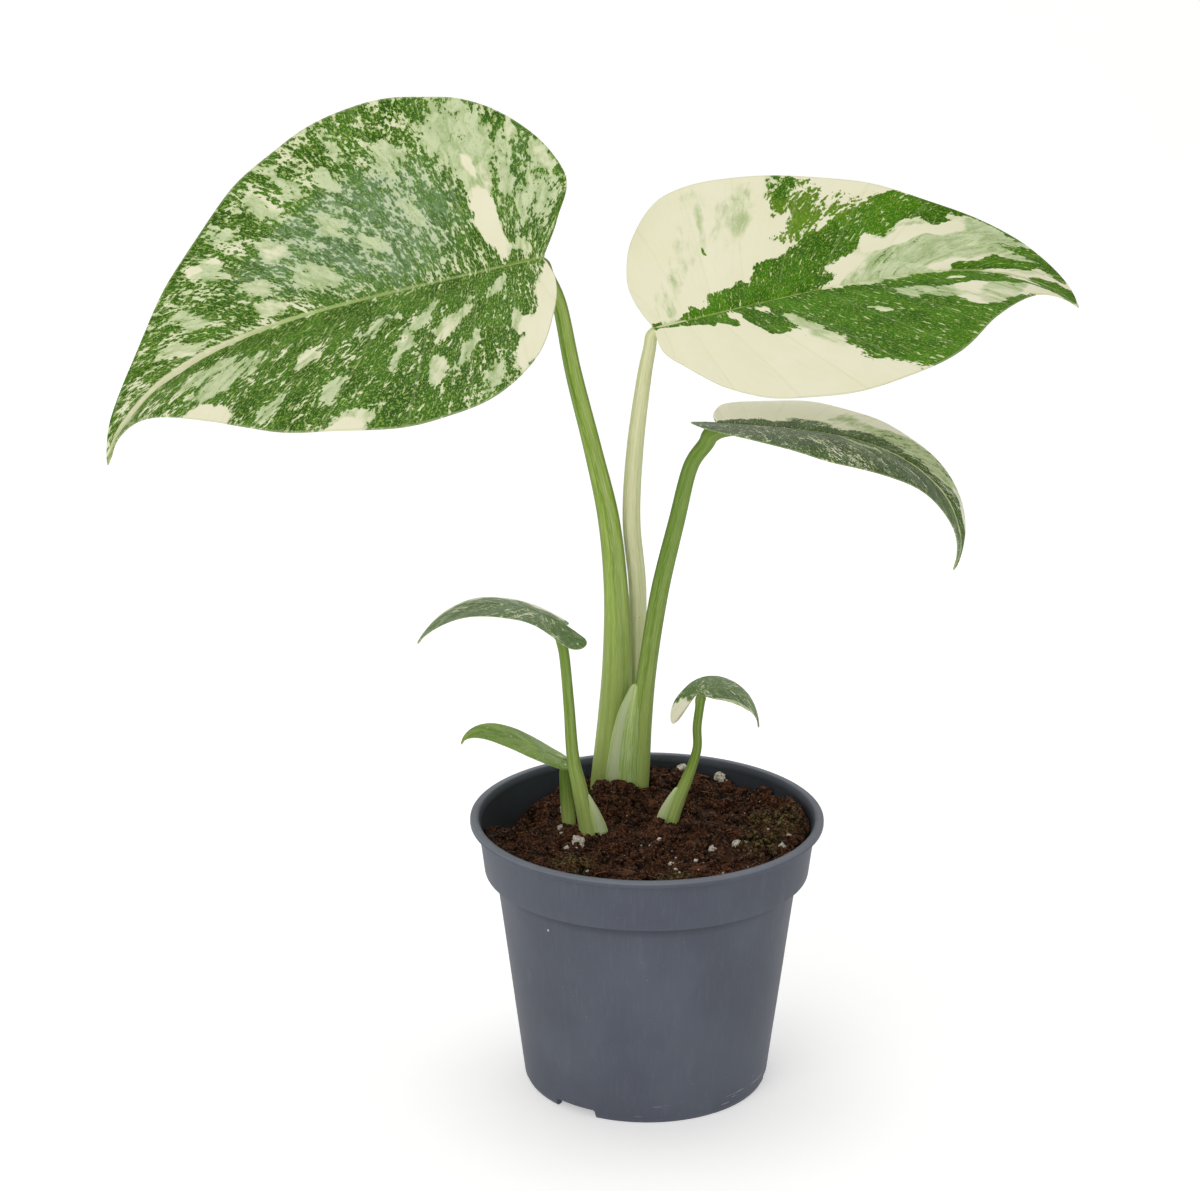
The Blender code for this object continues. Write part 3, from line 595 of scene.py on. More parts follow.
def soilFinish(name, bedded):
    finish = Finish(name, {"Specular IOR Level": 0.12})
    place = finish.objectPlace()
    lumps = finish.speckle(place, 240.0, 4.0, 0.65)
    grit = finish.speckle(place, 1100.0, 4.0, 0.7)
    flake = finish.cells(place, 1300.0)
    base = finish.blend(finish.rise(lumps, 0.36, 0.64), "#130804", "#482c1d")
    base = finish.blend(finish.rise(grit, 0.50, 0.66), base, "#745340")
    base = finish.blend(finish.rise(grit, 0.46, 0.36) * 0.85, base, "#0e0603")
    rust = finish.rise(finish.speckle(place, 110.0, 3.0, 0.6), 0.50, 0.64) * finish.rise(grit, 0.44, 0.58)
    base = finish.blend(rust * 0.45, base, "#6e3d24")
    tan = finish.rise(flake, 0.24, 0.10) * finish.rise(finish.speckle(place, 600.0, 2.0, 0.6), 0.54, 0.62)
    base = finish.blend(tan * 0.90, base, "#c0a082")
    mossy = None
    for centreX, centreY, spread in soil["moss"]:
        away = finish.distance(place, (centreX, centreY, soil["level"]))
        spot = finish.rise(away, spread, spread * 0.3)
        mossy = spot if mossy is None else mossy.maths("MAXIMUM", mossy, spot)
    tufts = finish.speckle(place, 380.0, 4.0, 0.65)
    moss = finish.blend(finish.rise(grit, 0.42, 0.64), "#2b280e", "#8b8450")
    base = finish.blend(mossy * finish.rise(tufts, 0.44, 0.56) * 0.85, base, moss)
    if bedded:
        # painted shade in the gaps between clods, painted light on their tops
        out = finish.parts(finish.attribute("stand"))[0]
        base = finish.blend(finish.rise(out, 0.30, -0.90) * 0.90, base, "#080301")
        base = finish.blend(finish.rise(out, 0.45, 1.20) * 0.36, base, "#84563c")
    finish.feed("Base Color", base)
    finish.feed("Roughness", 0.95 - 0.3 * finish.rise(lumps, 0.60, 0.30))
    finish.relief(0.6 * grit + 0.5 * lumps, 0.0006, 0.9)
    return finish


peatBed = soilFinish("moistPeat", True)
peatCrumb = soilFinish("peatCrumb", False)


def addSoil():
    shape = bmesh.new()
    bmesh.ops.create_grid(shape, x_segments=soil["grid"], y_segments=soil["grid"], size=1.0)
    # "stand": how far a place stands out of its surroundings, in millimetres
    stand = shape.verts.layers.float_vector.new("stand")
    for corner in shape.verts:
        x, y = corner.co.x, corner.co.y
        across = x * math.sqrt(1 - y * y / 2)
        back = y * math.sqrt(1 - x * x / 2)
        away = math.hypot(across, back)
        edge = wallRadius(soil["level"]) - soil["gap"]
        clumps = soilClumps(across * edge, back * edge)
        height = soilHeight(across * edge, back * edge, False) + clumps
        corner[stand] = (clumps * 1000, 0.0, 0.0)
        # the surface follows the tapered wall, and its very edge is pressed a little lower
        reach = edge + (wallRadius(height) - wallRadius(soil["level"])) * away
        height -= soil["edgeDip"] * smooth(away, 0.965, 1.0)
        corner.co = (across * reach, back * reach, height)
    rim = [edge for edge in shape.edges if edge.is_boundary]
    for depth in soil["skirt"]:
        rim, corners = drawnOut(shape, rim)
        if depth > pot["collarFoot"][1]:
            radius = wallRadius(depth) - 0.0005
        else:
            bodyRadius, bodyHeight = pot["bodyTop"]
            share = (depth - pot["floorTop"]) / (bodyHeight - pot["floorTop"])
            radius = pot["footRadius"] + (bodyRadius - pot["footRadius"]) * share - pot["wall"] - soil["gap"]
        for corner in corners:
            away = math.hypot(corner.co.x, corner.co.y)
            corner.co = (corner.co.x * radius / away, corner.co.y * radius / away, depth)
    bmesh.ops.contextual_create(shape, geom=rim)
    bmesh.ops.triangulate(shape, faces=[face for face in shape.faces if len(face.verts) > 4])
    bmesh.ops.recalc_face_normals(shape, faces=shape.faces)
    addPiece("peatSurface", shape, peatBed, ["root_ball"])


# random places on the soil, inside the wall
def scatterPlaces(count, spare=0.0022):
    places = []
    while len(places) < count:
        x, y = dice.uniform(-0.056, 0.056, 2)
        if math.hypot(x, y) < wallRadius(soil["level"]) - spare:
            places.append((x, y))
    return places


def addLump(shape, centre, size, subdivisions, roughness, flatness=0.75):
    seed = Vector((centre[0], centre[1], 0.0)) * 5000
    made = bmesh.ops.create_icosphere(shape, subdivisions=subdivisions, radius=1.0)["verts"]
    turn = Matrix.Rotation(dice.uniform(0, math.tau), 3, "Z")
    for corner in made:
        bump = 1.0 + roughness * noise.noise(corner.co * 1.3 + seed)
        bump += 0.5 * roughness * noise.noise(corner.co * 3.1 + seed)
        squeezed = Vector((corner.co.x * 1.15, corner.co.y * 0.9, corner.co.z * flatness)) * bump * size
        corner.co = turn @ squeezed + Vector(centre)


def addCrumbs():
    shape = bmesh.new()
    for x, y in scatterPlaces(soil["crumbs"]):
        size = dice.uniform(*soil["crumbSizes"])
        addLump(shape, (x, y, soilHeight(x, y) + size * 0.4), size, 1, 0.6)
    for x, y in scatterPlaces(soil["clods"], 0.0036):
        size = dice.uniform(*soil["clodSizes"])
        addLump(shape, (x, y, soilHeight(x, y) + size * 0.3), size, 2, 0.9)
    for x, y, size in soil["lumps"]:
        addLump(shape, (x, y, soilHeight(x, y, False) + size * 0.25), size, 4, 0.9, 0.85)
    addPiece("peatCrumbs", shape, peatCrumb, None)


def fibreFinish():
    finish = Finish("rootFibre", {"Specular IOR Level": 0.1, "Roughness": 0.8})
    tone = finish.speckle(finish.objectPlace(), 160.0, 2.0)
    finish.feed("Base Color", finish.blend(finish.rise(tone, 0.35, 0.65), "#3a2013", "#8a5a38"))
    return finish


# every corner that is joined to the given ones
def walked(corners):
    found = set(corners)
    waiting = list(corners)
    while waiting:
        for edge in waiting.pop().link_edges:
            for corner in edge.verts:
                if corner not in found:
                    found.add(corner)
                    waiting.append(corner)
    return found


# thin bent fibres that lie on the peat
def addFibres():
    shape = bmesh.new()
    for x, y in scatterPlaces(soil["fibres"], 0.0060):
        length = dice.uniform(*soil["fibreLengths"])
        thick = dice.uniform(*soil["fibreRadii"])
        bend = dice.uniform(-1.0, 1.0) * length
        lie = Matrix.Translation((x, y, soilHeight(x, y) + 0.0005))
        lie = lie @ Matrix.Rotation(dice.uniform(0, math.tau), 4, "Z")
        lie = lie @ Matrix.Rotation(math.radians(90 + dice.uniform(-14, 14)), 4, "X")
        ring = bmesh.ops.create_circle(shape, segments=4, radius=thick)["verts"]
        edges = list(dict.fromkeys(edge for corner in ring for edge in corner.link_edges))
        for step in range(soil["fibreSteps"] + 1):
            if step:
                edges, ring = drawnOut(shape, edges)
            share = step / soil["fibreSteps"] - 0.5
            for corner in ring:
                corner.co.z = share * length
        whole = walked(ring)
        for corner in whole:
            share = corner.co.z / length
            corner.co.x += bend * share * share
            corner.co = lie @ corner.co
    bmesh.ops.holes_fill(shape, edges=[edge for edge in shape.edges if edge.is_boundary], sides=4)
    bmesh.ops.recalc_face_normals(shape, faces=shape.faces)
    addPiece("peatFibres", shape, fibreFinish(), None)


perlite = {
    # centre x, y, size of the four large grains
    "large": [
        (-0.0236, -0.0072, 0.0021), (0.0130, 0.0505, 0.0018),
        (0.0265, 0.0460, 0.0019), (-0.0281, 0.0262, 0.0020),
    ],
    # the smaller ones
    "small": [
        (-0.0272, -0.0120, 0.0009), (-0.0296, 0.0080, 0.0010), (-0.0294, 0.0010, 0.0008),
        (0.0041, -0.0069, 0.0009), (0.0217, -0.0148, 0.0012), (0.0299, -0.0122, 0.0016),
        (0.0330, -0.0090, 0.0008), (0.0077, -0.0253, 0.0008), (0.0161, -0.0246, 0.0007),
        (0.0461, 0.0210, 0.0009), (0.0452, -0.0148, 0.0012), (-0.0400, 0.0100, 0.0006),
        (-0.0450, -0.0050, 0.0006), (0.0010, 0.0080, 0.0006), (-0.0200, -0.0320, 0.0006),
        (0.0480, -0.0060, 0.0008), (0.0400, 0.0290, 0.0008), (0.0090, -0.0330, 0.0007),
    ],
    "strayGrains": 46, "straySizes": (0.00022, 0.00042),
}


def perliteFinish():
    finish = Finish("whitePerlite", {"Roughness": 0.9, "Specular IOR Level": 0.15})
    place = finish.objectPlace()
    pores = finish.cells(place, 1700.0)
    stain = finish.speckle(place, 700.0, 4.0, 0.65)
    base = finish.blend(finish.rise(stain, 0.40, 0.70), "#d9d3c6", "#a89a86")
    pits = finish.rise(pores, 0.30, 0.10) * finish.rise(stain, 0.46, 0.56)
    base = finish.blend(pits, base, "#4a382b")
    finish.feed("Base Color", base)
    finish.relief(pores, 0.0004, 0.8)
    return finish


def addPerlite():
    shape = bmesh.new()
    for x, y, size in perlite["large"]:
        addLump(shape, (x, y, soilHeight(x, y, False) + size * 0.45), size, 4, 0.55, 0.9)
    for x, y, size in perlite["small"]:
        addLump(shape, (x, y, soilHeight(x, y) + size * 0.35), size, 3, 0.6, 0.9)
    for x, y in scatterPlaces(perlite["strayGrains"]):
        size = dice.uniform(*perlite["straySizes"])
        addLump(shape, (x, y, soilHeight(x, y) + size * 0.5), size, 2, 0.5, 0.9)
    grains = [f"perlite_grain_{count}" for count in range(1, 5)]
    addPiece("perliteGrains", shape, perliteFinish(), grains)


addSoil()
addCrumbs()
addFibres()
addPerlite()
print("soil laid")


def stemFinish():
    finish = Finish("buriedStem", {"Roughness": 0.7})
    place = finish.objectPlace()
    tone = finish.speckle(finish.scaled(place, (1.0, 1.0, 0.3)), 400.0, 3.0)
    finish.feed("Base Color", finish.blend(tone, "#6b5a34", "#a7a468"))
    finish.relief(tone, 0.0004)
    return finish


stemSkin = stemFinish()
for name in ("main_stem_base", "left_stem_base", "right_stem_base"):
    nodes[name].data.materials.clear()
    nodes[name].data.materials.append(stemSkin.material)


# half outlines, from the stalk round the lobe to the tip: share of the length, of the half width
plainHalf = [
    (0.00, 0.00), (-0.05, 0.16), (-0.07, 0.44), (-0.03, 0.74), (0.11, 0.95),
    (0.32, 1.00), (0.54, 0.83), (0.74, 0.52), (0.90, 0.19), (1.00, 0.00),
]
shortLobeHalf = [
    (0.00, 0.00), (-0.02, 0.20), (-0.01, 0.43), (0.03, 0.73), (0.13, 0.97),
    (0.29, 1.01), (0.54, 0.81), (0.70, 0.51), (0.88, 0.12), (1.00, 0.00),
]
wideLobeHalf = [
    (0.00, 0.00), (-0.04, 0.18), (-0.07, 0.41), (0.00, 0.73), (0.13, 0.95),
    (0.33, 1.03), (0.52, 0.84), (0.68, 0.50), (0.84, 0.18), (1.00, 0.00),
]
broadTipHalf = [
    (0.00, 0.00), (-0.02, 0.22), (-0.02, 0.43), (0.02, 0.73), (0.12, 0.99),
    (0.28, 1.01), (0.52, 0.80), (0.71, 0.50), (0.92, 0.20), (1.00, 0.00),
]
cutBackHalf = [
    (0.00, 0.00), (0.00, 0.24), (0.03, 0.43), (0.09, 0.72), (0.18, 0.93),
    (0.36, 1.03), (0.57, 0.88), (0.72, 0.51), (0.87, 0.15), (1.00, 0.00),
]
backLobeHalf = [
    (0.00, 0.00), (-0.07, 0.26), (-0.14, 0.48), (-0.11, 0.80), (0.08, 0.97),
    (0.32, 1.00), (0.54, 0.83), (0.74, 0.52), (0.90, 0.19), (1.00, 0.00),
]
hangingLobeHalf = [
    (0.00, 0.00), (-0.09, 0.42), (-0.27, 0.62), (-0.22, 0.88), (0.08, 0.98),
    (0.32, 1.00), (0.55, 0.84), (0.74, 0.52), (0.89, 0.18), (1.00, 0.00),
]
fullBackHalf = [
    (0.00, 0.00), (-0.01, 0.24), (0.00, 0.52), (0.03, 0.80), (0.12, 1.03),
    (0.28, 1.10), (0.45, 0.86), (0.65, 0.48), (0.86, 0.18), (1.00, 0.00),
]
thinLobeHalf = [
    (0.00, 0.00), (-0.05, 0.16), (-0.08, 0.38), (-0.02, 0.72), (0.12, 0.96),
    (0.32, 1.10), (0.52, 0.88), (0.69, 0.51), (0.85, 0.26), (1.00, 0.00),
]

# How each leaf lies and looks. Places and turns are the solids' own, and outlines are close to theirs.
# "sags" let part of a half hang: which half, share round its outline, spread, drop at the margin, power.
# "dabs" are patches of colour: kind, place across (below 0 on the left half, 1 at the margin), share of the
# way round from stalk to tip, half its width across, half its span along, and for some how far it leans
# towards the tip as it nears the margin.
leaves = {
    "largeLeft": {
        "start": (-0.0342, 0.0080, 0.2854),
        "length": 0.171, "widths": (0.0620, 0.0644),
        "heading": 176, "swing": -2, "rise": -14, "droop": 60, "power": 3.7,
        "roll": 47, "twist": -2, "fold": (15, 15), "curl": (0, 0),
        "halves": (shortLobeHalf, wideLobeHalf),
        "sags": [],
        "route": [
            (-0.0136, 0.0416, 0.0880), (-0.0110, 0.0374, 0.1165), (-0.0099, 0.0339, 0.1383),
            (-0.0104, 0.0293, 0.1655), (-0.0129, 0.0249, 0.1918), (-0.0182, 0.0204, 0.2174),
            (-0.0246, 0.0155, 0.2450), (-0.0289, 0.0125, 0.2678),
        ],
        "radii": [0.0057, 0.0055, 0.0050, 0.0041, 0.0036, 0.0030, 0.0027, 0.0024],
        "topRadii": (0.0022, 0.0020), "elbow": (0.0012, 0.0030, 0.0016), "shade": 0.0,
        "base": "main_stem_base",
        "nodes": ("large_left_stalk", "large_left_blade"),
        "slots": ("green_stalk", "green_blade"), "look": "largeLeft",
        "grid": (210, 46),
        "veins": 11, "quilt": 0.00018, "wave": 0.0009, "ripple": 0.022,
        "ground": "flecked",
        "ribTones": [(0.0, 0.12), (0.60, 0.20), (0.74, 0.34), (0.83, 0.60), (0.88, 1.0),
                     (0.96, 0.85), (1.0, 0.2)],
        "dabs": [
            ("peppered", -0.5, 0.62, 0.56, 0.3), ("mottled", 0.5, 0.3, 0.48, 0.1),
            ("sheeny", 0.42, 0.63, 0.38, 0.14), ("flecked", 0.88, 0.66, 0.22, 0.22),
            ("dark", -0.1, 0.36, 0.13, 0.24), ("dark", -0.14, 0.7, 0.14, 0.12),
            ("dark", -0.3, 0.46, 0.1, 0.03), ("flecked", 0.12, 0.26, 0.1, 0.08),
            ("dark", 0.93, 0.46, 0.06, 0.05),
            # upper half, from the stalk to the tip
            ("sage", 0.76, 0.44, 0.25, 0.052), ("paleSage", 0.55, 0.43, 0.12, 0.026, 0.05),
            ("cream", 0.25, 0.428, 0.19, 0.026, 0.08), ("paleSage", 0.54, 0.433, 0.12, 0.016),
            ("cream", 0.41, 0.431, 0.07, 0.012), ("cream", 0.6, 0.436, 0.04, 0.007),
            ("paleSage", 0.12, 0.345, 0.03, 0.05, 0.9), ("paleSage", 0.9, 0.285, 0.08, 0.02),
            ("sage", 0.66, 0.365, 0.16, 0.014), ("paleSage", 0.93, 0.35, 0.07, 0.012),
            ("sage", 0.35, 0.325, 0.12, 0.014, 0.05), ("sage", 0.55, 0.27, 0.14, 0.014),
            ("sage", 0.65, 0.545, 0.1, 0.014), ("sage", 0.38, 0.555, 0.09, 0.01, 0.05),
            ("sage", 0.85, 0.59, 0.1, 0.008), ("sage", 0.5, 0.66, 0.09, 0.012, 0.05),
            ("sage", 0.32, 0.632, 0.08, 0.009, 0.05), ("sage", 0.85, 0.655, 0.12, 0.01),
            ("sage", 0.8, 0.692, 0.1, 0.008), ("sage", 0.27, 0.722, 0.13, 0.021),
            ("paleSage", 0.58, 0.722, 0.09, 0.011), ("paleSage", 0.42, 0.772, 0.1, 0.01),
            ("sage", 0.78, 0.775, 0.12, 0.009), ("cream", 0.88, 0.776, 0.04, 0.007),
            ("cream", 0.8, 0.764, 0.04, 0.004), ("paleSage", 0.2, 0.79, 0.1, 0.01),
            ("sage", 0.65, 0.835, 0.2, 0.01), ("paleSage", 0.4, 0.875, 0.24, 0.008),
            ("sage", 0.88, 0.735, 0.08, 0.008), ("sage", 0.7, 0.62, 0.08, 0.008),
            # lower half
            ("cream", -0.66, 0.17, 0.36, 0.12), ("cream", -0.84, 0.3, 0.2, 0.075),
            ("cream", -0.6, 0.35, 0.05, 0.02), ("paleSage", -0.48, 0.375, 0.1, 0.02),
            ("flecked", -0.12, 0.22, 0.12, 0.14), ("sage", -0.145, 0.438, 0.06, 0.028, -0.2),
            ("paleSage", -0.32, 0.53, 0.1, 0.024, -0.2), ("sage", -0.26, 0.585, 0.13, 0.01, -0.1),
            ("sage", -0.27, 0.645, 0.08, 0.014, -0.1), ("sage", -0.55, 0.487, 0.15, 0.01, -0.1),
            ("paleSage", -0.66, 0.53, 0.08, 0.016), ("sage", -0.5, 0.59, 0.12, 0.008),
            ("paleSage", -0.48, 0.715, 0.08, 0.013), ("sage", -0.72, 0.64, 0.12, 0.009),
            ("paleSage", -0.96, 0.6, 0.08, 0.018), ("cream", -1.0, 0.602, 0.05, 0.016),
            ("sage", -0.85, 0.43, 0.1, 0.02), ("cream", -1.0, 0.785, 0.1, 0.03),
            ("sage", -0.62, 0.8, 0.26, 0.022, -0.06), ("dark", -0.22, 0.8, 0.15, 0.06, -0.1),
            ("sage", -0.52, 0.835, 0.22, 0.018, -0.08), ("sage", -0.85, 0.7, 0.1, 0.01),
            ("dark", -0.3, 0.88, 0.26, 0.03, -0.1), ("flecked", -0.75, 0.865, 0.2, 0.018, -0.05),
        ],
    },
    "largeRight": {
        "start": (0.0016, 0.0139, 0.2605),
        "length": 0.154, "widths": (0.0523, 0.0524),
        "heading": 10, "swing": 8, "rise": 11, "droop": 52, "power": 3.5,
        "roll": -32, "twist": -1, "fold": (8, 8), "curl": (0, 0),
        "halves": (broadTipHalf, cutBackHalf),
        "sags": [],
        "route": [
            (-0.0038, 0.0466, 0.0880), (-0.0040, 0.0458, 0.1053), (-0.0031, 0.0412, 0.1312),
            (-0.0030, 0.0340, 0.1642), (-0.0052, 0.0282, 0.1908), (-0.0042, 0.0231, 0.2167),
            (-0.0014, 0.0185, 0.2420),
        ],
        "radii": [0.0026, 0.0027, 0.0029, 0.0030, 0.0030, 0.0028, 0.0024],
        "topRadii": (0.0021, 0.0019), "elbow": (-0.0006, 0.0020, 0.0015), "shade": 0.0,
        "base": "main_stem_base",
        "nodes": ("large_right_stalk", "large_right_blade"),
        "slots": ("cream_stalk", "half_cream_blade"), "look": "largeRight",
        "grid": (200, 44),
        "veins": 11, "quilt": 0.00012, "wave": 0.0005, "ripple": 0.014,
        "ground": "cream",
        "ribTones": [(0.0, 0.0), (0.55, 0.0), (0.80, 0.15), (0.93, 0.3), (1.0, 0.0)],
        "dabs": [
            # along the midrib
            ("green", 0.0, 0.08, 0.14, 0.14), ("green", 0.01, 0.34, 0.07, 0.26),
            ("green", 0.06, 0.475, 0.055, 0.055), ("green", 0.12, 0.512, 0.05, 0.018, 0.1),
            ("faint", -0.22, 0.33, 0.22, 0.09, -0.1), ("faint", -0.45, 0.44, 0.24, 0.055, -0.2),
            ("faint", -0.74, 0.5, 0.36, 0.056), ("faint", -0.66, 0.56, 0.4, 0.03, -0.05),
            ("dotted", -0.12, 0.335, 0.04, 0.014, -0.3), ("dotted", -0.72, 0.5, 0.07, 0.008),
            ("dotted", -0.38, 0.41, 0.06, 0.008), ("green", -0.455, 0.503, 0.018, 0.004),
            # right half: the band, its tongues and the wedge beyond it
            ("green", 0.18, 0.572, 0.155, 0.027), ("green", 0.72, 0.7, 0.4, 0.1, 0.02),
            ("green", 0.45, 0.69, 0.3, 0.086, 0.08), ("green", 0.16, 0.675, 0.2, 0.085),
            ("green", 0.97, 0.76, 0.1, 0.13), ("paleSage", 0.36, 0.613, 0.21, 0.014, -0.02),
            ("paleSage", 0.43, 0.716, 0.11, 0.005, 0.05), ("green", 0.24, 0.83, 0.24, 0.1),
            ("sage", 0.74, 0.86, 0.18, 0.048, -0.1), ("paleSage", 0.8, 0.835, 0.12, 0.03),
            ("sage", 0.46, 0.792, 0.22, 0.02, 0.1), ("green", 0.45, 0.88, 0.22, 0.042, 0.22),
            ("paleSage", 0.31, 0.846, 0.035, 0.01), ("paleSage", 0.19, 0.885, 0.05, 0.014),
            # left half: the wedge from the midrib, the fields on both sides of it
            ("green", -0.09, 0.61, 0.13, 0.125, -0.1), ("green", -0.27, 0.655, 0.2, 0.064, -0.22),
            ("green", -0.56, 0.7, 0.24, 0.044, -0.12), ("green", -0.86, 0.738, 0.22, 0.042, -0.12),
            ("sage", -0.46, 0.808, 0.5, 0.06, -0.04), ("paleSage", -0.56, 0.762, 0.22, 0.024, -0.1),
            ("cream", -0.55, 0.764, 0.16, 0.018, -0.1), ("sage", -0.01, 0.8, 0.1, 0.06),
            ("cream", -0.8, 0.8, 0.2, 0.014, -0.06), ("sage", -0.9, 0.825, 0.16, 0.03),
            ("speckled", -0.84, 0.618, 0.22, 0.036), ("speckled", -0.55, 0.64, 0.16, 0.024, -0.15),
            ("flecked", -0.92, 0.605, 0.12, 0.016), ("speckled", -0.7, 0.662, 0.26, 0.034, -0.1),
            ("green", -0.35, 0.89, 0.6, 0.024, -0.02), ("green", -0.86, 0.895, 0.2, 0.04),
            ("dotted", -0.66, 0.838, 0.1, 0.012), ("paleSage", -0.5, 0.922, 0.4, 0.008),
            ("green", 0.0, 0.97, 1.2, 0.034), ("green", -1.02, 0.815, 0.05, 0.075),
            ("green", -0.85, 0.78, 0.1, 0.012), ("sage", -0.7, 0.88, 0.12, 0.012),
        ],
    },
    "lowerRight": {
        "start": (0.0224, 0.0060, 0.2303),
        "length": 0.1085, "widths": (0.0350, 0.0350),
        "heading": -1, "swing": -7, "rise": -3, "droop": 109, "power": 2.6,
        "roll": 4, "twist": -24, "fold": (7, 9), "curl": (-9, -16),
        "halves": (fullBackHalf, thinLobeHalf),
        "sags": [(1, 0.15, 0.15, -0.0085, 2.0)],
        "route": [
            (-0.0033, 0.0360, 0.0880), (-0.0026, 0.0343, 0.0967), (-0.0014, 0.0300, 0.1192),
            (0.0007, 0.0257, 0.1412), (0.0044, 0.0202, 0.1684), (0.0098, 0.0148, 0.1947),
            (0.0140, 0.0110, 0.2140),
        ],
        "radii": [0.0042, 0.0040, 0.0036, 0.0031, 0.0030, 0.0027, 0.0025],
        "topRadii": (0.0026, 0.0028), "elbow": (-0.0012, 0.0026, 0.0026), "shade": 0.7,
        "sheath": [
            (-0.0080, 0.0330, 0.0900), (-0.0074, 0.0303, 0.1050),
            (-0.0060, 0.0276, 0.1200), (-0.0036, 0.0258, 0.1330),
        ],
        "sheathRadii": [0.0062, 0.0054, 0.0040, 0.0012], "sheathEdge": 1.0,
        "base": "main_stem_base",
        "nodes": ("lower_right_stalk", "lower_right_blade"),
        "slots": ("green_stalk", "marbled_blade"), "look": "lowerRight",
        "grid": (150, 32),
        "veins": 9, "quilt": 0.00020, "wave": 0.0007, "ripple": 0.014,
        "ground": "peppered",
        "ribTones": [(0.0, 0.1), (0.5, 0.2), (0.75, 0.45), (0.9, 0.7), (1.0, 0.3)],
        "dabs": [
            ("cream", -0.64, 0.44, 0.62, 0.25), ("cream", -0.52, 0.18, 0.56, 0.16),
            ("paleSage", -0.62, 0.7, 0.36, 0.06), ("cream", -0.86, 0.73, 0.22, 0.05),
            ("sage", -0.7, 0.79, 0.3, 0.07), ("paleSage", -0.95, 0.88, 0.16, 0.06),
            ("green", -0.08, 0.5, 0.1, 0.42), ("green", -0.2, 0.76, 0.16, 0.06),
            ("sheeny", -0.26, 0.62, 0.08, 0.06), ("dusky", 0.12, 0.48, 0.06, 0.24),
            ("peppered", 0.6, 0.28, 0.4, 0.12), ("flecked", 0.62, 0.62, 0.3, 0.06),
            ("dark", 0.5, 0.86, 0.4, 0.07), ("sage", 0.3, 0.72, 0.22, 0.012, 0.1),
            ("dark", -0.5, 0.93, 0.6, 0.03),
        ],
    },
    "smallLeft": {
        "start": (-0.0283, -0.0140, 0.1680),
        "length": 0.0534, "widths": (0.0171, 0.0171),
        "heading": 188, "swing": 5, "rise": 29, "droop": 86, "power": 1.5,
        "roll": -2, "twist": -8, "fold": (0, -1), "curl": (-4, -10),
        "halves": (backLobeHalf, plainHalf),
        "sags": [(0, 0.40, 0.08, 0.0042, 1.0)],
        "route": [
            (-0.0196, 0.0028, 0.0860), (-0.0227, -0.0009, 0.1041), (-0.0250, -0.0036, 0.1174),
            (-0.0262, -0.0077, 0.1368), (-0.0275, -0.0112, 0.1542),
        ],
        "radii": [0.0031, 0.0026, 0.0021, 0.0018, 0.0017],
        "topRadii": (0.0018, 0.0024), "elbow": (-0.0010, 0.0025, 0.0021), "shade": 0.8,
        "sheath": [(-0.0165, 0.0020, 0.0870), (-0.0182, 0.0000, 0.0950), (-0.0205, -0.0012, 0.1030)],
        "sheathRadii": [0.0034, 0.0024, 0.0008], "sheathEdge": -1.0,
        "base": "left_stem_base",
        "nodes": ("small_left_stalk", "small_left_blade"),
        "slots": ("green_stalk", "small_blade"), "look": "small",
        "grid": (110, 24),
        "veins": 7, "quilt": 0.00015, "wave": 0.0004, "ripple": 0.03,
        "ground": "dusky",
        "ribTones": [(0.0, 0.2), (0.5, 0.3), (1.0, 0.1)],
        "dabs": [
            ("cream", 0.8, 0.42, 0.24, 0.14), ("paleSage", 0.92, 0.7, 0.14, 0.12),
            ("flecked", -0.5, 0.6, 0.5, 0.06), ("flecked", 0.0, 0.8, 0.6, 0.1),
        ],
    },
    "smallLowLeft": {
        "start": (-0.0289, 0.0090, 0.1115),
        "length": 0.0386, "widths": (0.0125, 0.0125),
        "heading": 183, "swing": -2, "rise": 27, "droop": 104, "power": 4.5,
        "roll": -6, "twist": 15, "fold": (-2, 3), "curl": (-6, -7),
        "halves": (plainHalf, plainHalf),
        "sags": [],
        "route": [(-0.0266, 0.0145, 0.0860), (-0.0274, 0.0130, 0.0960)],
        "radii": [0.0024, 0.0022],
        "topRadii": (0.0018, 0.0014), "elbow": (-0.0019, 0.0014, 0.0010), "shade": 0.9,
        "base": "left_stem_base",
        "nodes": ("small_low_left_stalk", "small_low_left_blade"),
        "slots": ("green_stalk", "small_blade"), "look": "fresh",
        "grid": (100, 22),
        "veins": 6, "quilt": 0.00012, "wave": 0.0003, "ripple": 0.03,
        "ground": "fresh",
        "ribTones": [(0.0, 0.4), (0.5, 0.3), (1.0, 0.1)],
        "dabs": [
            ("dusky", 0.2, 0.45, 0.8, 0.12), ("speckled", 0.45, 0.3, 0.3, 0.07),
        ],
    },
    "smallRight": {
        "start": (0.0166, 0.0040, 0.1371),
        "length": 0.0307, "widths": (0.0117, 0.0106),
        "heading": 13, "swing": -8, "rise": 36, "droop": 122, "power": 0.8,
        "roll": -3, "twist": -18, "fold": (-2, -2), "curl": (-5, -1),
        "halves": (hangingLobeHalf, cutBackHalf),
        "sags": [(0, 0.17, 0.13, 0.0150, 1.0), (1, 0.15, 0.15, -0.0030, 2.0)],
        "route": [
            (0.0084, 0.0127, 0.0870), (0.0112, 0.0114, 0.0964), (0.0137, 0.0102, 0.1035),
            (0.0158, 0.0090, 0.1101), (0.0172, 0.0079, 0.1167), (0.0170, 0.0067, 0.1240),
        ],
        "radii": [0.0027, 0.0023, 0.0020, 0.0017, 0.0015, 0.0015],
        "topRadii": (0.0015, 0.0017), "elbow": (0.0, 0.0017, 0.0013), "shade": 0.6,
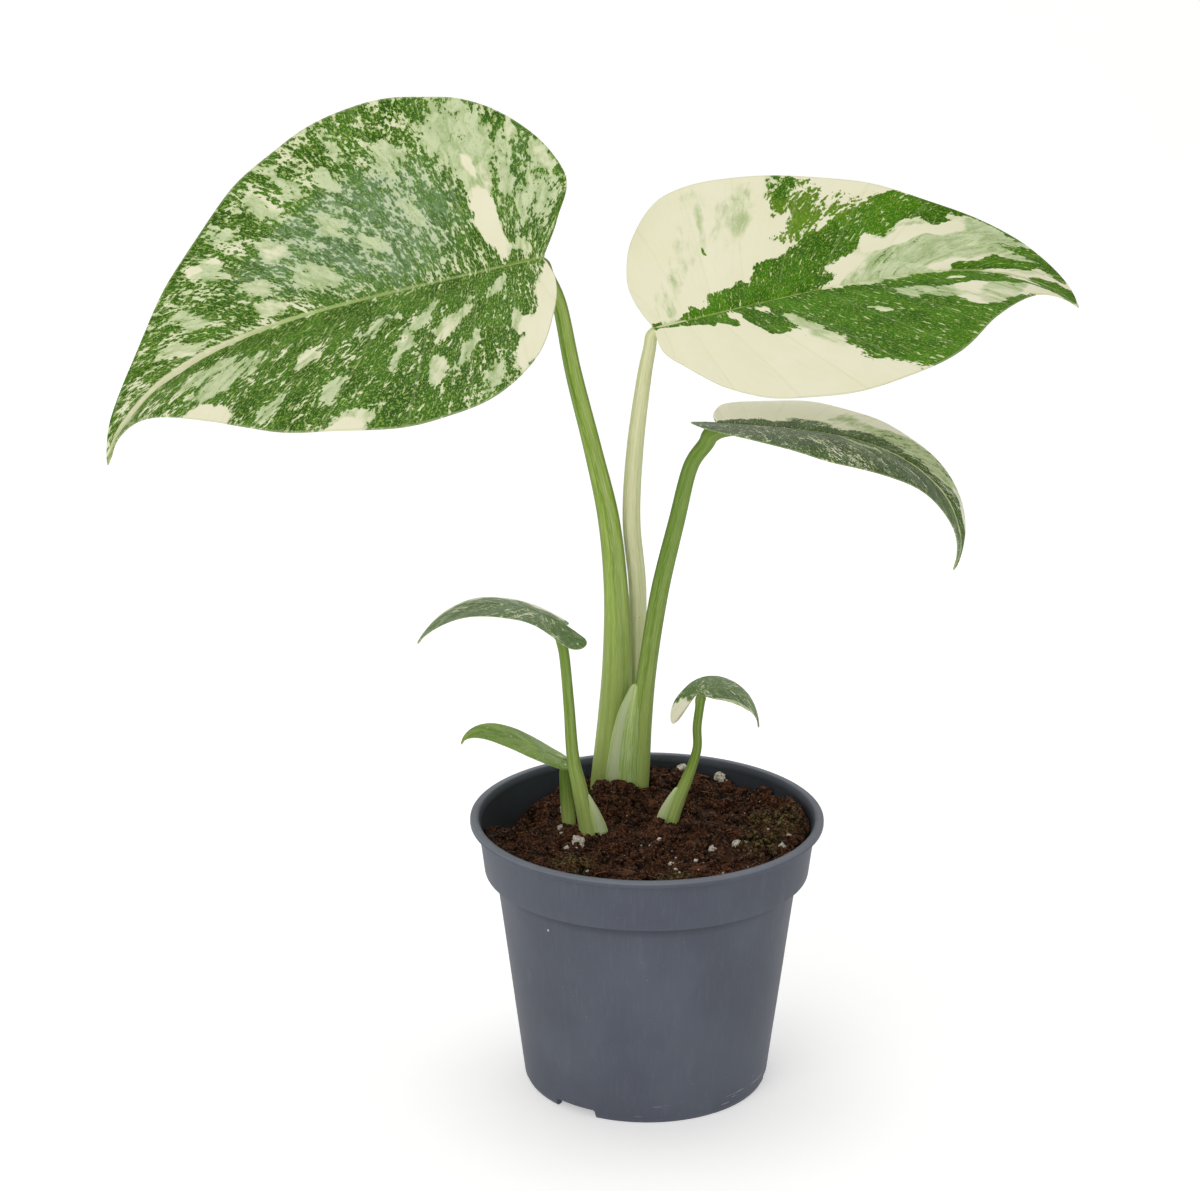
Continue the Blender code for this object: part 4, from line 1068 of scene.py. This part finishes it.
        "sheath": [(0.0062, 0.0115, 0.0880), (0.0080, 0.0104, 0.0945), (0.0106, 0.0098, 0.1010)],
        "sheathRadii": [0.0027, 0.0020, 0.0007], "sheathEdge": 1.0,
        "base": "right_stem_base",
        "nodes": ("small_right_stalk", "small_right_blade"),
        "slots": ("green_stalk", "small_blade"), "look": "small",
        "grid": (100, 22),
        "veins": 6, "quilt": 0.00012, "wave": 0.0003, "ripple": 0.03,
        "ground": "dusky", "underTone": 2.0,
        "ribTones": [(0.0, 0.1), (0.6, 0.2), (1.0, 0.2)],
        "dabs": [
            ("flecked", 0.5, 0.75, 0.4, 0.1), ("paleSage", 0.95, 0.6, 0.1, 0.2),
            ("cream", -0.86, 0.19, 0.46, 0.13),
        ],
    },
}

# what a dab paints: how pale, how milky the pale part is, how much painted sheen greys the green
kinds = {
    "dark": (-0.52, -0.4, 0.0),
    "green": (-0.82, -0.2, 0.0),
    "flecked": (-0.20, -0.15, 0.0),
    "mottled": (-0.03, -0.50, 0.25),
    "sheeny": (-0.16, -0.60, 0.9),
    "dusky": (-0.34, -0.30, 0.45),
    "peppered": (-0.34, -0.10, 0.0),
    "fresh": (-0.50, -0.2, -0.1),
    "speckled": (-0.04, 0.35, -0.45),
    "dotted": (0.40, -0.10, -0.1),
    "faint": (1.10, 0.16, 0.0),
    "sage": (0.28, -0.7, 0.3),
    "paleSage": (0.62, 0.0, 0.1),
    "cream": (1.20, 1.1, 0.0),
}

build = {
    "midribSteps": 60,
    # the leaf length that the thickness and relief are given for
    "fullLength": 0.17,
    "rootCrowding": 2.9,
    "veinSweep": 1.15,
    "thickness": 0.00055,
    # the midrib: its half width, the groove above it and the keel below it; side veins above and below
    "ribWidth": 0.0011,
    "groove": 0.00038,
    "keel": 0.00125,
    "veinRelief": (0.00006, 0.00012),
    "edgeRound": 0.00022,
    "clearance": 0.0006,
    "footDepth": 0.0035,
    "straightFoot": 0.0020,
    "elbowShare": 0.70,
    "rowsPerPoint": 20,
    "stalkAround": 56,
    "sheathFlatness": 0.5,
}


def midribFrames(leaf):
    share = np.linspace(0.0, 1.0, build["midribSteps"] + 1)
    heading = np.radians(leaf["heading"] + leaf["swing"] * share)
    rise = np.radians(leaf["rise"] - leaf["droop"] * share ** leaf["power"])
    forward = np.stack([np.cos(rise) * np.cos(heading), np.cos(rise) * np.sin(heading), np.sin(rise)], -1)
    strides = (forward[1:] + forward[:-1]) * leaf["length"] / build["midribSteps"] / 2
    points = np.array(leaf["start"]) + np.vstack([np.zeros(3), np.cumsum(strides, axis=0)])
    levelRight = np.stack([np.sin(heading), -np.cos(heading), np.zeros(len(share))], -1)
    levelUp = np.cross(levelRight, forward)
    roll = np.radians(leaf["roll"] + leaf["twist"] * share**2)[:, None]
    right = levelRight * np.cos(roll) + levelUp * np.sin(roll)
    up = levelUp * np.cos(roll) - levelRight * np.sin(roll)
    return share, points, forward, right, up


def readAlong(shares, values, place):
    flat = np.clip(place, 0.0, 1.0)
    return np.stack([np.interp(flat, shares, values[:, axis]) for axis in range(3)], -1)


# middle surface of half a blade, its upward normal, and where each point lies along the leaf
def halfBlade(leaf, frames, across, shares, side):
    shareList, points, forward, right, up = frames
    half = 1 if side > 0 else 0
    outline = curveThrough(leaf["halves"][half], shares)
    margin, width = outline[:, 0][:, None], np.maximum(outline[:, 1], 0.0)[:, None]
    root = shares[:, None] ** build["rootCrowding"]
    along = root + (margin - root) * across[None, :] ** build["veinSweep"]
    # the margin ripples a little, inwards only
    own = np.full(len(shares), side * 5.0 + leaf["length"] * 100)
    ripple = noiseField(np.stack([shares * 13.0, own, shares * 0.0], -1), 1.0)
    width = width * (1.0 - leaf["ripple"] * (0.5 + ripple))[:, None]
    reach = leaf["widths"][half] * width * across[None, :]
    fold = math.radians(leaf["fold"][half])
    bend = math.radians(leaf["curl"][half]) or 0.0001
    slope = fold + bend * width * across[None, :]
    scale = leaf["widths"][half] / bend
    out = scale * (np.sin(slope) - math.sin(fold))
    lift = scale * (math.cos(fold) - np.cos(slope))
    rightHere = readAlong(shareList, right, along)
    upHere = readAlong(shareList, up, along)
    place = readAlong(shareList, points, along)
    place = place + forward[0] * (np.minimum(along, 0.0) * leaf["length"])[..., None]
    place = place + rightHere * (side * out)[..., None] + upHere * lift[..., None]
    for sagging, centre, spread, depth, power in leaf["sags"]:
        if sagging == half:
            dip = depth * np.exp(-(((shares - centre) / spread) ** 2))
            place[..., 2] -= dip[:, None] * (width * across[None, :]) ** power
    normal = upHere * np.cos(slope)[..., None] - rightHere * (side * np.sin(slope))[..., None]
    return place, normal, along, reach


# colours of the dabs at every point; their edges wander
def paintField(leaf, across, shares, points):
    across = across + 0.055 * noiseField(points, 170.0) + 0.03 * noiseField(points, 430.0)
    shares = shares + 0.011 * noiseField(points + 0.3, 170.0) + 0.006 * noiseField(points + 0.3, 430.0)
    field = np.zeros(across.shape + (3,)) + kinds[leaf["ground"]]
    for kind, middle, share, wide, long, *leans in leaf["dabs"]:
        lean = leans[0] if leans else 0.0
        lateral = (across - middle) / wide
        onward = (shares - share - lean * (across - middle)) / long
        cover = 1.0 - smooth(np.hypot(lateral, onward), 0.60, 1.35)
        field += (np.array(kinds[kind]) - field) * cover[..., None]
    return field


def noiseField(points, scale):
    flat = points.reshape(-1, 3) * scale
    return np.array([noise.noise(Vector(point)) for point in flat]).reshape(points.shape[:-1])


def bladeSkin(leaf, order):
    rows, columns = leaf["grid"]
    frames = midribFrames(leaf)
    shares = np.linspace(0.0, 1.0, rows + 1)
    rim = build["edgeRound"] / max(leaf["widths"])
    across = np.append(np.linspace(0.0, 1.0, columns - 1) ** 1.25 * (1 - 1.2 * rim), [1 - 0.3 * rim, 1.0])
    rounding = np.append(np.ones(columns - 1), [0.62, 0.0])
    left = halfBlade(leaf, frames, across, shares, -1)
    right = halfBlade(leaf, frames, across, shares, 1)
    # both halves side by side, from the left margin over the midrib to the right margin
    place, normal, along, reach = (
        np.concatenate([one[:, :0:-1], other], axis=1) for one, other in zip(left, right)
    )
    signed = np.concatenate([-across[:0:-1], across])
    edge = np.concatenate([rounding[:0:-1], rounding])[None, :]
    u = np.broadcast_to(signed[None, :], along.shape)
    v = np.broadcast_to(shares[:, None], along.shape)
    # lengths along and across the side veins, in centimetres
    strides = np.linalg.norm(np.diff(place, axis=1), axis=2) * 100
    run = np.concatenate([np.zeros((rows + 1, 1)), np.cumsum(strides, axis=1)], axis=1)
    run -= run[:, columns][:, None]
    middle = columns + columns * 3 // 5
    climb = np.linalg.norm(np.diff(place[:, middle], axis=0), axis=1) * 100
    climb = np.broadcast_to(np.append(0.0, np.cumsum(climb))[:, None], along.shape)
    phase = climb / climb[-1, 0] * leaf["veins"] + 0.35 * np.abs(u)
    # relief: a groove over the midrib, shallow quilting between side veins, a wavy margin
    scale = leaf["length"] / build["fullLength"]
    towardsTip = np.clip(1.0 - along, 0.0, 1.0)
    fadeIn = smooth(v, 0.02, 0.12) * smooth(1.0 - v, 0.0, 0.06)
    ribWidth = build["ribWidth"] * (0.35 + 0.65 * scale) * (0.35 + 0.65 * towardsTip)
    ridge = np.exp(-(reach / ribWidth) ** 2)
    out, inward = np.abs(u), 1.0 - np.abs(u)
    vein = np.exp(-((phase - np.round(phase)) / 0.10) ** 2)
    vein = vein * smooth(out, 0.0, 0.12) * smooth(inward, 0.0, 0.2)
    quilt = leaf["quilt"] * np.cos(math.tau * phase) * smooth(out, 0.02, 0.25) * smooth(inward, 0.0, 0.25)
    seed = np.array([order * 3.7, 0.0, 0.0])
    wave = leaf["wave"] * noiseField(place + seed, 38.0 / (0.4 + 0.6 * scale)) * (0.25 + 1.2 * out ** 3)
    swell = -quilt + wave * fadeIn
    body = build["thickness"] * (0.5 + 0.5 * scale) / 2 * edge
    body = body * smooth(v, 0.0, 0.01) * smooth(1.0 - v, 0.0, 0.01)
    groove = build["groove"] * (0.4 + 0.6 * scale) * ridge * smooth(v, 0.05, 0.2) * smooth(1.0 - v, 0.0, 0.1)
    keel = build["keel"] * (0.3 + 0.7 * scale) * ridge * (0.15 + 0.85 * towardsTip) * smooth(v, 0.0, 0.05)
    above, below = build["veinRelief"]
    top = place + normal * (swell + body - groove - above * vein * edge)[..., None]
    under = place + normal * (swell - body - keel * edge - below * vein * edge)[..., None]
    tone = paintField(leaf, u, v, place)
    ribTone = np.interp(v, *zip(*leaf["ribTones"]))
    flow = np.stack([run, climb, np.full(along.shape, order * 11.0)], -1)
    spot = np.stack([out, v, np.zeros(along.shape)], -1)
    spotUnder = spot.copy()
    spotUnder[..., 2] = leaf.get("underTone", 1.0)
    rib = np.stack([ribTone, phase, reach * 100], -1)

    def around(upper, lower):
        return np.concatenate([upper, lower[:, -2:0:-1]], axis=1)

    layers = {"flow": around(flow, flow), "tone": around(tone, tone), "spot": around(spot, spotUnder),
              "rib": around(rib, rib)}
    return wrappedSkin(around(top, under), layers)


# flecks, speckles and stripes follow the side veins: "flow" holds the lengths along and across them
def bladeFinish(name, look):
    finish = Finish(name, {"Specular IOR Level": look["gloss"]})
    flow = finish.attribute("flow")
    pale, milk, sheen = finish.parts(finish.attribute("tone"))
    margin, under = finish.parts(finish.attribute("spot"))[::2]
    ribTone, phase, fromRib = finish.parts(finish.attribute("rib"))
    size = look["fleckSize"]
    drawn = finish.scaled(flow, (look["stretch"], 1.0, 1.0))
    shorter = finish.scaled(flow, (0.62, 1.0, 1.0))
    patches = finish.speckle(drawn, 1.2 / size, 3.0, 0.55, 0.5)
    flecks = finish.speckle(drawn, 3.0 / size, 4.0, 0.58, 0.7)
    threads = finish.speckle(drawn, 2.7 / size, 4.0, 0.60, 1.2)
    scallops = finish.cells(finish.scaled(flow, (0.75, 1.0, 1.0)), 8.0 / size)
    sparks = finish.speckle(finish.scaled(flow, (0.32, 1.0, 1.0)), 8.5 / size, 2.0, 0.5, 0.5)
    grains = finish.speckle(shorter, 13.0 / size, 3.0, 0.62, 0.4)
    dots = finish.speckle(shorter, 24.0 / size, 2.0, 0.6)
    clouds = finish.speckle(flow, 0.75, 3.0, 0.6, 0.3)
    field = pale + look["patchy"] * (patches - 0.5) + look["flecky"] * (flecks - 0.5)
    field = field + look["grainy"] * (grains - 0.5)
    # pale threads wind between green islands
    field = field + look["lace"] * (0.075 - abs(threads - 0.5)) + look["scallop"] * (scallops - 0.5)
    isPale = finish.rise(field, -0.04, 0.04)
    milky = milk + 1.2 * (patches - 0.5) + 1.0 * (clouds - 0.5) + 0.7 * (flecks - 0.5)
    milky = finish.rise(milky, -0.30, 0.40)
    # green tissue
    green = finish.blend(finish.rise(clouds, 0.35, 0.65), look["deep"], look["mid"])
    green = finish.blend(finish.rise(grains, 0.50, 0.63) * look["specks"], green, look["light"])
    green = finish.blend(finish.rise(dots, 0.60, 0.69) * look["specks"], green, look["dot"])
    rimmed = finish.rise(abs(field), 0.16, 0.02)
    green = finish.blend(rimmed * 0.55, green, look["light"])
    green = finish.blend(finish.rise(sheen, -0.05, -0.80) * 0.65, green, look["light"])
    green = finish.blend(finish.rise(sparks, 0.63, 0.69) * look["sparks"], green, look["spark"])
    # painted sheen: the green turns grey where the sheen value is high
    green = finish.blend(sheen * (0.30 + 0.75 * finish.rise(flecks, 0.40, 0.60)) * 0.72, green, look["sheen"])
    # pale tissue, from sage to cream
    sage = finish.blend(finish.rise(flecks, 0.38, 0.62), "#a9bb80", "#d0daab")
    sage = finish.blend(finish.rise(grains, 0.54, 0.66) * 0.45, sage, "#88a35c")
    sage = finish.blend(finish.rise(dots, 0.58, 0.68) * 0.40, sage, "#dfe3bd")
    # painted sheen on the pale tissue too
    sage = finish.blend(sheen * 0.50, sage, "#b3c4ab")
    cream = finish.blend(clouds, *look["cream"])
    # faint straight lines along the side veins
    lines = finish.speckle(finish.scaled(drawn, (0.30, 1.0, 1.0)), 9.0, 2.0, 0.5)
    cream = finish.blend(finish.rise(lines, 0.5, 0.9) * 0.18, cream, "#cfcca4")
    colour = finish.blend(isPale, green, finish.blend(milky, sage, cream))
    # side veins, the midrib stripe and a thin pale margin
    nearVein = finish.rise(abs(phase - phase.maths("ROUND", phase)), 0.045, 0.0)
    nearVein = nearVein * finish.rise(margin, 0.02, 0.2)
    colour = finish.blend(nearVein * 0.13, colour, "#c7cf9c")
    stripeEdge = fromRib + 0.11 * (flecks - 0.5) + 0.06 * (grains - 0.5)
    reach = look["stripe"] * (0.35 + 0.65 * ribTone)
    stripe = finish.rise((reach - stripeEdge) / look["stripe"], 0.0, 0.30) * finish.rise(ribTone, 0.0, 0.5)
    ribColour = finish.blend(finish.rise(ribTone, 0.35, 0.85), "#b3c67e", "#e2e0bb")
    colour = finish.blend(stripe * 0.90, colour, ribColour)
    hair = finish.rise(stripeEdge + 0.10 * (dots - 0.5), 0.030, 0.006)
    hair = hair * look["ribHair"] * (1.0 - 0.9 * ribTone)
    colour = finish.blend(hair, colour, "#adc073")
    colour = finish.blend(finish.rise(margin, 0.985, 0.997) * 0.35, colour, "#c3caa0")
    # the underside is duller and paler
    below = finish.blend(look["underShare"], colour, look["under"])
    below = finish.blend(finish.rise(under, 1.2, 1.8), below, "#d9cfab")
    below = finish.blend(finish.rise(fromRib, 0.13, 0.07) * 0.7, below, "#b4c283")
    colour = finish.blend(finish.rise(under, 0.35, 0.65), colour, below)
    blemish = finish.rise(finish.cells(flow, 1.6), 0.045, 0.025) * finish.rise(clouds, 0.58, 0.66)
    colour = finish.blend(blemish * 0.8, colour, "#4a3a20")
    finish.feed("Base Color", colour)
    finish.feed("Roughness", 0.36 + 0.14 * clouds + 0.06 * isPale + 0.18 * under)
    finish.relief(0.5 * grains + 0.35 * dots + 0.9 * nearVein, 0.00014, 0.5)
    return finish


# what most leaves share; the numbers scale noises or are shares, the colours go by what they tint
commonLook = {
    "fleckSize": 0.5, "stretch": 0.45, "patchy": 1.0, "flecky": 1.7, "grainy": 1.0, "lace": 0.8,
    "scallop": 0.4, "sparks": 0.6, "stripe": 0.06, "ribHair": 0.6, "gloss": 0.1, "underShare": 0.58,
    "spark": "#d3dca0", "cream": ("#e9e5c1", "#f1eed5"),
}
bladeLooks = {
    "largeLeft": {
        **commonLook, "fleckSize": 1.0, "stretch": 0.5, "lace": 1.8, "scallop": 0.6, "specks": 0.95,
        "stripe": 0.17, "deep": "#2b5210", "mid": "#44701f", "light": "#82a23e", "dot": "#bcc97c",
        "sheen": "#86a07e", "under": "#a3b287",
    },
    "largeRight": {
        **commonLook, "fleckSize": 0.9, "stretch": 0.36, "patchy": 1.1, "scallop": 0.35, "specks": 0.65,
        "sparks": 0.85, "stripe": 0.12, "gloss": 0.07, "deep": "#2d5c03", "mid": "#427707",
        "light": "#7f9e28", "dot": "#bccb78", "sheen": "#7f9a7c", "under": "#d2d0a6",
    },
    "lowerRight": {
        **commonLook, "fleckSize": 0.58, "patchy": 0.9, "flecky": 2.0, "grainy": 1.7, "lace": 1.4,
        "scallop": 0.45, "specks": 0.75, "sparks": 0.8, "stripe": 0.1, "ribHair": 0.5, "gloss": 0.07,
        "deep": "#1f3f0c", "mid": "#345718", "light": "#84994f", "dot": "#b4bf86", "sheen": "#587350",
        "under": "#a9b58e", "cream": ("#fbf7e6", "#fefbf0"),
    },
    "small": {
        **commonLook, "flecky": 1.8, "grainy": 1.2, "lace": 1.0, "specks": 0.5, "ribHair": 0.3,
        "underShare": 0.55, "deep": "#3f5d2a", "mid": "#567238", "light": "#8ba254", "dot": "#bac88c",
        "spark": "#d9e0ac", "sheen": "#869b78", "under": "#8d9c6e", "cream": ("#eeeacd", "#f5f2dd"),
    },
    "fresh": {
        **commonLook, "flecky": 1.6, "specks": 0.45, "sparks": 0.5, "ribHair": 0.3, "underShare": 0.6,
        "deep": "#5c7f24", "mid": "#7c9a36", "light": "#a0b457", "dot": "#bcc98a", "sheen": "#8b9f78",
        "under": "#93a56a", "cream": ("#eeeacd", "#f5f2dd"),
    },
}


# a point under the midrib that the stalk passes through
def underBlade(leaf, ahead, radius):
    share, points, forward, right, up = midribFrames(leaf)
    lift = build["thickness"] / 2 + build["clearance"] + radius
    return Vector(points[0]) + Vector(forward[0]) * ahead - Vector(up[0]) * lift


# the point on the midrib's keel where the stalk has run out into it
def onKeel(leaf, ahead, sink):
    share, points, forward, right, up = midribFrames(leaf)
    here = readAlong(share, points, np.array([ahead / leaf["length"]]))[0]
    upHere = readAlong(share, up, np.array([ahead / leaf["length"]]))[0]
    return Vector(here) - Vector(upHere) * sink


def fromBase(route, radii, base):
    # the foot starts a little below the soil
    foot = Vector(route[0])
    foot.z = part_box(base)[1].z - build["footDepth"]
    points = [foot, foot + Vector((0.0, 0.0, build["straightFoot"]))] + [Vector(point) for point in route]
    return points, [radii[0], radii[0]] + list(radii)


def stalkRoute(leaf):
    points, radii = fromBase(leaf["route"], leaf["radii"], leaf["base"])
    ahead, drop, lastRadius = leaf["elbow"]
    elbow = underBlade(leaf, ahead, drop)
    points.append(points[-1].lerp(elbow, build["elbowShare"]))
    points.append(elbow)
    # it widens into the blade, then runs out along the midrib
    tops = leaf["topRadii"]
    points.append(onKeel(leaf, ahead + 2.2 * lastRadius, lastRadius * 0.7))
    points.append(onKeel(leaf, ahead + 8.0 * lastRadius, lastRadius * 0.30))
    return points, radii + list(tops) + [lastRadius * 0.8, lastRadius * 0.35]


# a round skin swept along a route, ribbed lengthwise; flatness squeezes it front to back
def sweptSkin(points, radii, order, rows, around, shade, facing=1.0, ribs=0.0, groove=0.0,
              flatness=1.0, ribCount=13):
    shares = np.linspace(0.0, 1.0, rows + 1)
    path = curveThrough(points, shares)
    radius = np.maximum(curveThrough([(value, 0.0, 0.0) for value in radii], shares)[:, 0], 0.0003)
    forward = np.gradient(path, axis=0)
    forward /= np.linalg.norm(forward, axis=1)[:, None]
    back = np.array([0.0, 1.0, 0.0]) - forward * forward[:, 1][:, None]
    back /= np.linalg.norm(back, axis=1)[:, None]
    side = np.cross(forward, back)
    # round ends, closed to a point
    tailed = np.minimum(shares * rows / 3.0, (1.0 - shares) * rows / 3.0)
    radius = radius * np.sqrt(np.clip(1.0 - (1.0 - np.clip(tailed, 0.0, 1.0)) ** 2, 0.0, 1.0))
    angle = np.linspace(0.0, 2 * math.pi, around + 1)[:-1][None, :]
    length = np.append(0.0, np.cumsum(np.linalg.norm(np.diff(path, axis=0), axis=1)))[:, None]
    drift = 0.25 * np.sin(length * 60 + order)
    shapeOut = 1.0 + ribs * np.cos(ribCount * (angle + drift * 0.2))
    shapeOut = shapeOut + 0.4 * ribs * np.cos(2.3 * ribCount * angle + drift)
    shapeOut = shapeOut - groove * np.exp(-((np.mod(angle - 1.57 + math.pi, math.tau) - math.pi) / 0.35) ** 2)
    reach = radius[:, None] * shapeOut
    across = (reach * np.cos(angle))[..., None]
    deep = (reach * np.sin(angle) * flatness)[..., None]
    place = path[:, None, :] + side[:, None, :] * across + back[:, None, :] * deep
    ring = np.stack([
        np.broadcast_to(facing * np.cos(angle), reach.shape), np.broadcast_to(np.sin(angle), reach.shape),
        np.broadcast_to(length * 100, reach.shape),
    ], -1)
    grade = np.stack([np.broadcast_to(shares[:, None], reach.shape), np.full(reach.shape, float(order)),
                      np.full(reach.shape, shade)], -1)
    return wrappedSkin(place, {"ring": ring, "grade": grade})


# "ring" holds the direction round the stalk and the length along it in centimetres
def stalkFinish(name, look):
    finish = Finish(name, {"Specular IOR Level": 0.15})
    ring = finish.attribute("ring")
    x, y = finish.parts(ring)[:2]
    share, order, shade = finish.parts(finish.attribute("grade"))
    seed = finish.node("ShaderNodeCombineXYZ", None, {0: order * 3.1, 1: order * 1.7, 2: 0.0})
    drawn = finish.total(finish.scaled(ring, (1.0, 1.0, 0.045)), seed)
    finer = finish.total(finish.scaled(ring, (1.0, 1.0, 0.09)), seed)
    broad = finish.speckle(drawn, 1.9, 2.0, 0.5)
    stripes = finish.speckle(drawn, 6.0, 3.0, 0.6)
    lines = finish.speckle(finer, 16.0, 2.0, 0.6)
    colour = finish.blend(finish.rise(broad, 0.34, 0.62), look["deep"], look["mid"])
    colour = finish.blend(finish.rise(stripes, 0.50, 0.66) * 0.50, colour, look["light"])
    colour = finish.blend(finish.rise(lines, 0.50, 0.64) * 0.42, colour, look["line"])
    colour = finish.blend(finish.rise(lines, 0.46, 0.36) * 0.35, colour, look["deep"])
    ribbonEdge = abs(x - look["ribbonPlace"] + 0.5 * (broad - 0.5) + 0.5 * (stripes - 0.5))
    ribbon = finish.rise(ribbonEdge, look["ribbonWidth"], look["ribbonWidth"] * 0.45)
    ribbon = ribbon * finish.rise(y, 0.3, -0.1) * look["ribbon"]
    colour = finish.blend(ribbon, colour, look["ribbonColour"])
    flank = finish.rise(abs(x) + 0.25 * (stripes - 0.5), 0.72, 0.97) * look["flank"]
    colour = finish.blend(flank, colour, look["flankColour"])
    # painted shade darkens the top of some stalks, painted light makes all of them paler towards the soil
    dusk = shade * finish.rise(share, 0.25, 0.70) * (0.55 + 0.5 * stripes)
    colour = finish.blend(dusk, colour, look["dusk"])
    colour = finish.blend(finish.rise(share, 0.52, 0.14) * look["footLight"], colour, look["light"])
    foot = finish.rise(share, 0.14, 0.05) * finish.rise(finish.speckle(ring, 2.4, 4.0, 0.6), 0.40, 0.60)
    colour = finish.blend(foot * 0.35, colour, "#c6c69a")
    spots = finish.rise(finish.cells(finish.objectPlace(), 300.0), 0.065, 0.035)
    spots = spots * finish.rise(finish.speckle(ring, 1.3, 1.0), 0.52, 0.60)
    colour = finish.blend(spots * 0.85, colour, "#2f3318")
    finish.feed("Base Color", colour)
    finish.feed("Roughness", 0.42 + 0.16 * stripes)
    finish.relief(0.7 * lines + 0.5 * stripes, 0.00014, 0.55)
    return finish


stalkLooks = {
    "green_stalk": {
        "deep": "#638429", "mid": "#8fab42", "light": "#b4c772", "line": "#c9d391", "ribbon": 0.25,
        "ribbonPlace": -0.25, "ribbonWidth": 0.3, "ribbonColour": "#c6d190", "flank": 0.58,
        "flankColour": "#5a7037", "dusk": "#547529", "footLight": 0.85,
    },
    "cream_stalk": {
        "deep": "#cccf99", "mid": "#e0e0b4", "light": "#eae8c6", "line": "#f0eed2", "ribbon": 0.0,
        "ribbonPlace": 0.0, "ribbonWidth": 0.3, "ribbonColour": "#dcdab6", "flank": 0.3,
        "flankColour": "#a3b06c", "dusk": "#a3b06c", "footLight": 0.5,
    },
    "sheath": {
        "deep": "#98bc54", "mid": "#c6d988", "light": "#e1e9b6", "line": "#ecf0d0", "ribbon": 0.85,
        "ribbonPlace": 0.52, "ribbonWidth": 0.42, "ribbonColour": "#cdd8ac", "flank": 0.3,
        "flankColour": "#d2dab2", "dusk": "#a3bb62", "footLight": 0.3,
    },
}

bladeSkins = {key: bladeFinish(key + "Leaf", look) for key, look in bladeLooks.items()}
stalkSkins = {key: stalkFinish(key + "Skin", look) for key, look in stalkLooks.items()}


def addLeaf(title, leaf, order):
    stalkNode, bladeNode = leaf["nodes"]
    stalkSlot, bladeSlot = leaf["slots"]
    points, radii = stalkRoute(leaf)
    rows = build["rowsPerPoint"] * len(points)
    skin = sweptSkin(points, radii, order, rows, build["stalkAround"], leaf["shade"], ribs=0.022, groove=0.10)
    addPiece(title + "Stalk", skin, stalkSkins[stalkSlot], [stalkNode])
    if "sheath" in leaf:
        points, radii = fromBase(leaf["sheath"], leaf["sheathRadii"], leaf["base"])
        skin = sweptSkin(points, radii, order + 0.5, 90, 64, 0.0, leaf["sheathEdge"], ribs=0.02,
                         flatness=build["sheathFlatness"], ribCount=19)
        addPiece(title + "Sheath", skin, stalkSkins["sheath"], None)
    addPiece(title + "Blade", bladeSkin(leaf, order), bladeSkins[leaf["look"]], [bladeNode])


for order, (title, leaf) in enumerate(leaves.items()):
    addLeaf(title, leaf, order)
    print(title, "leaf grown")
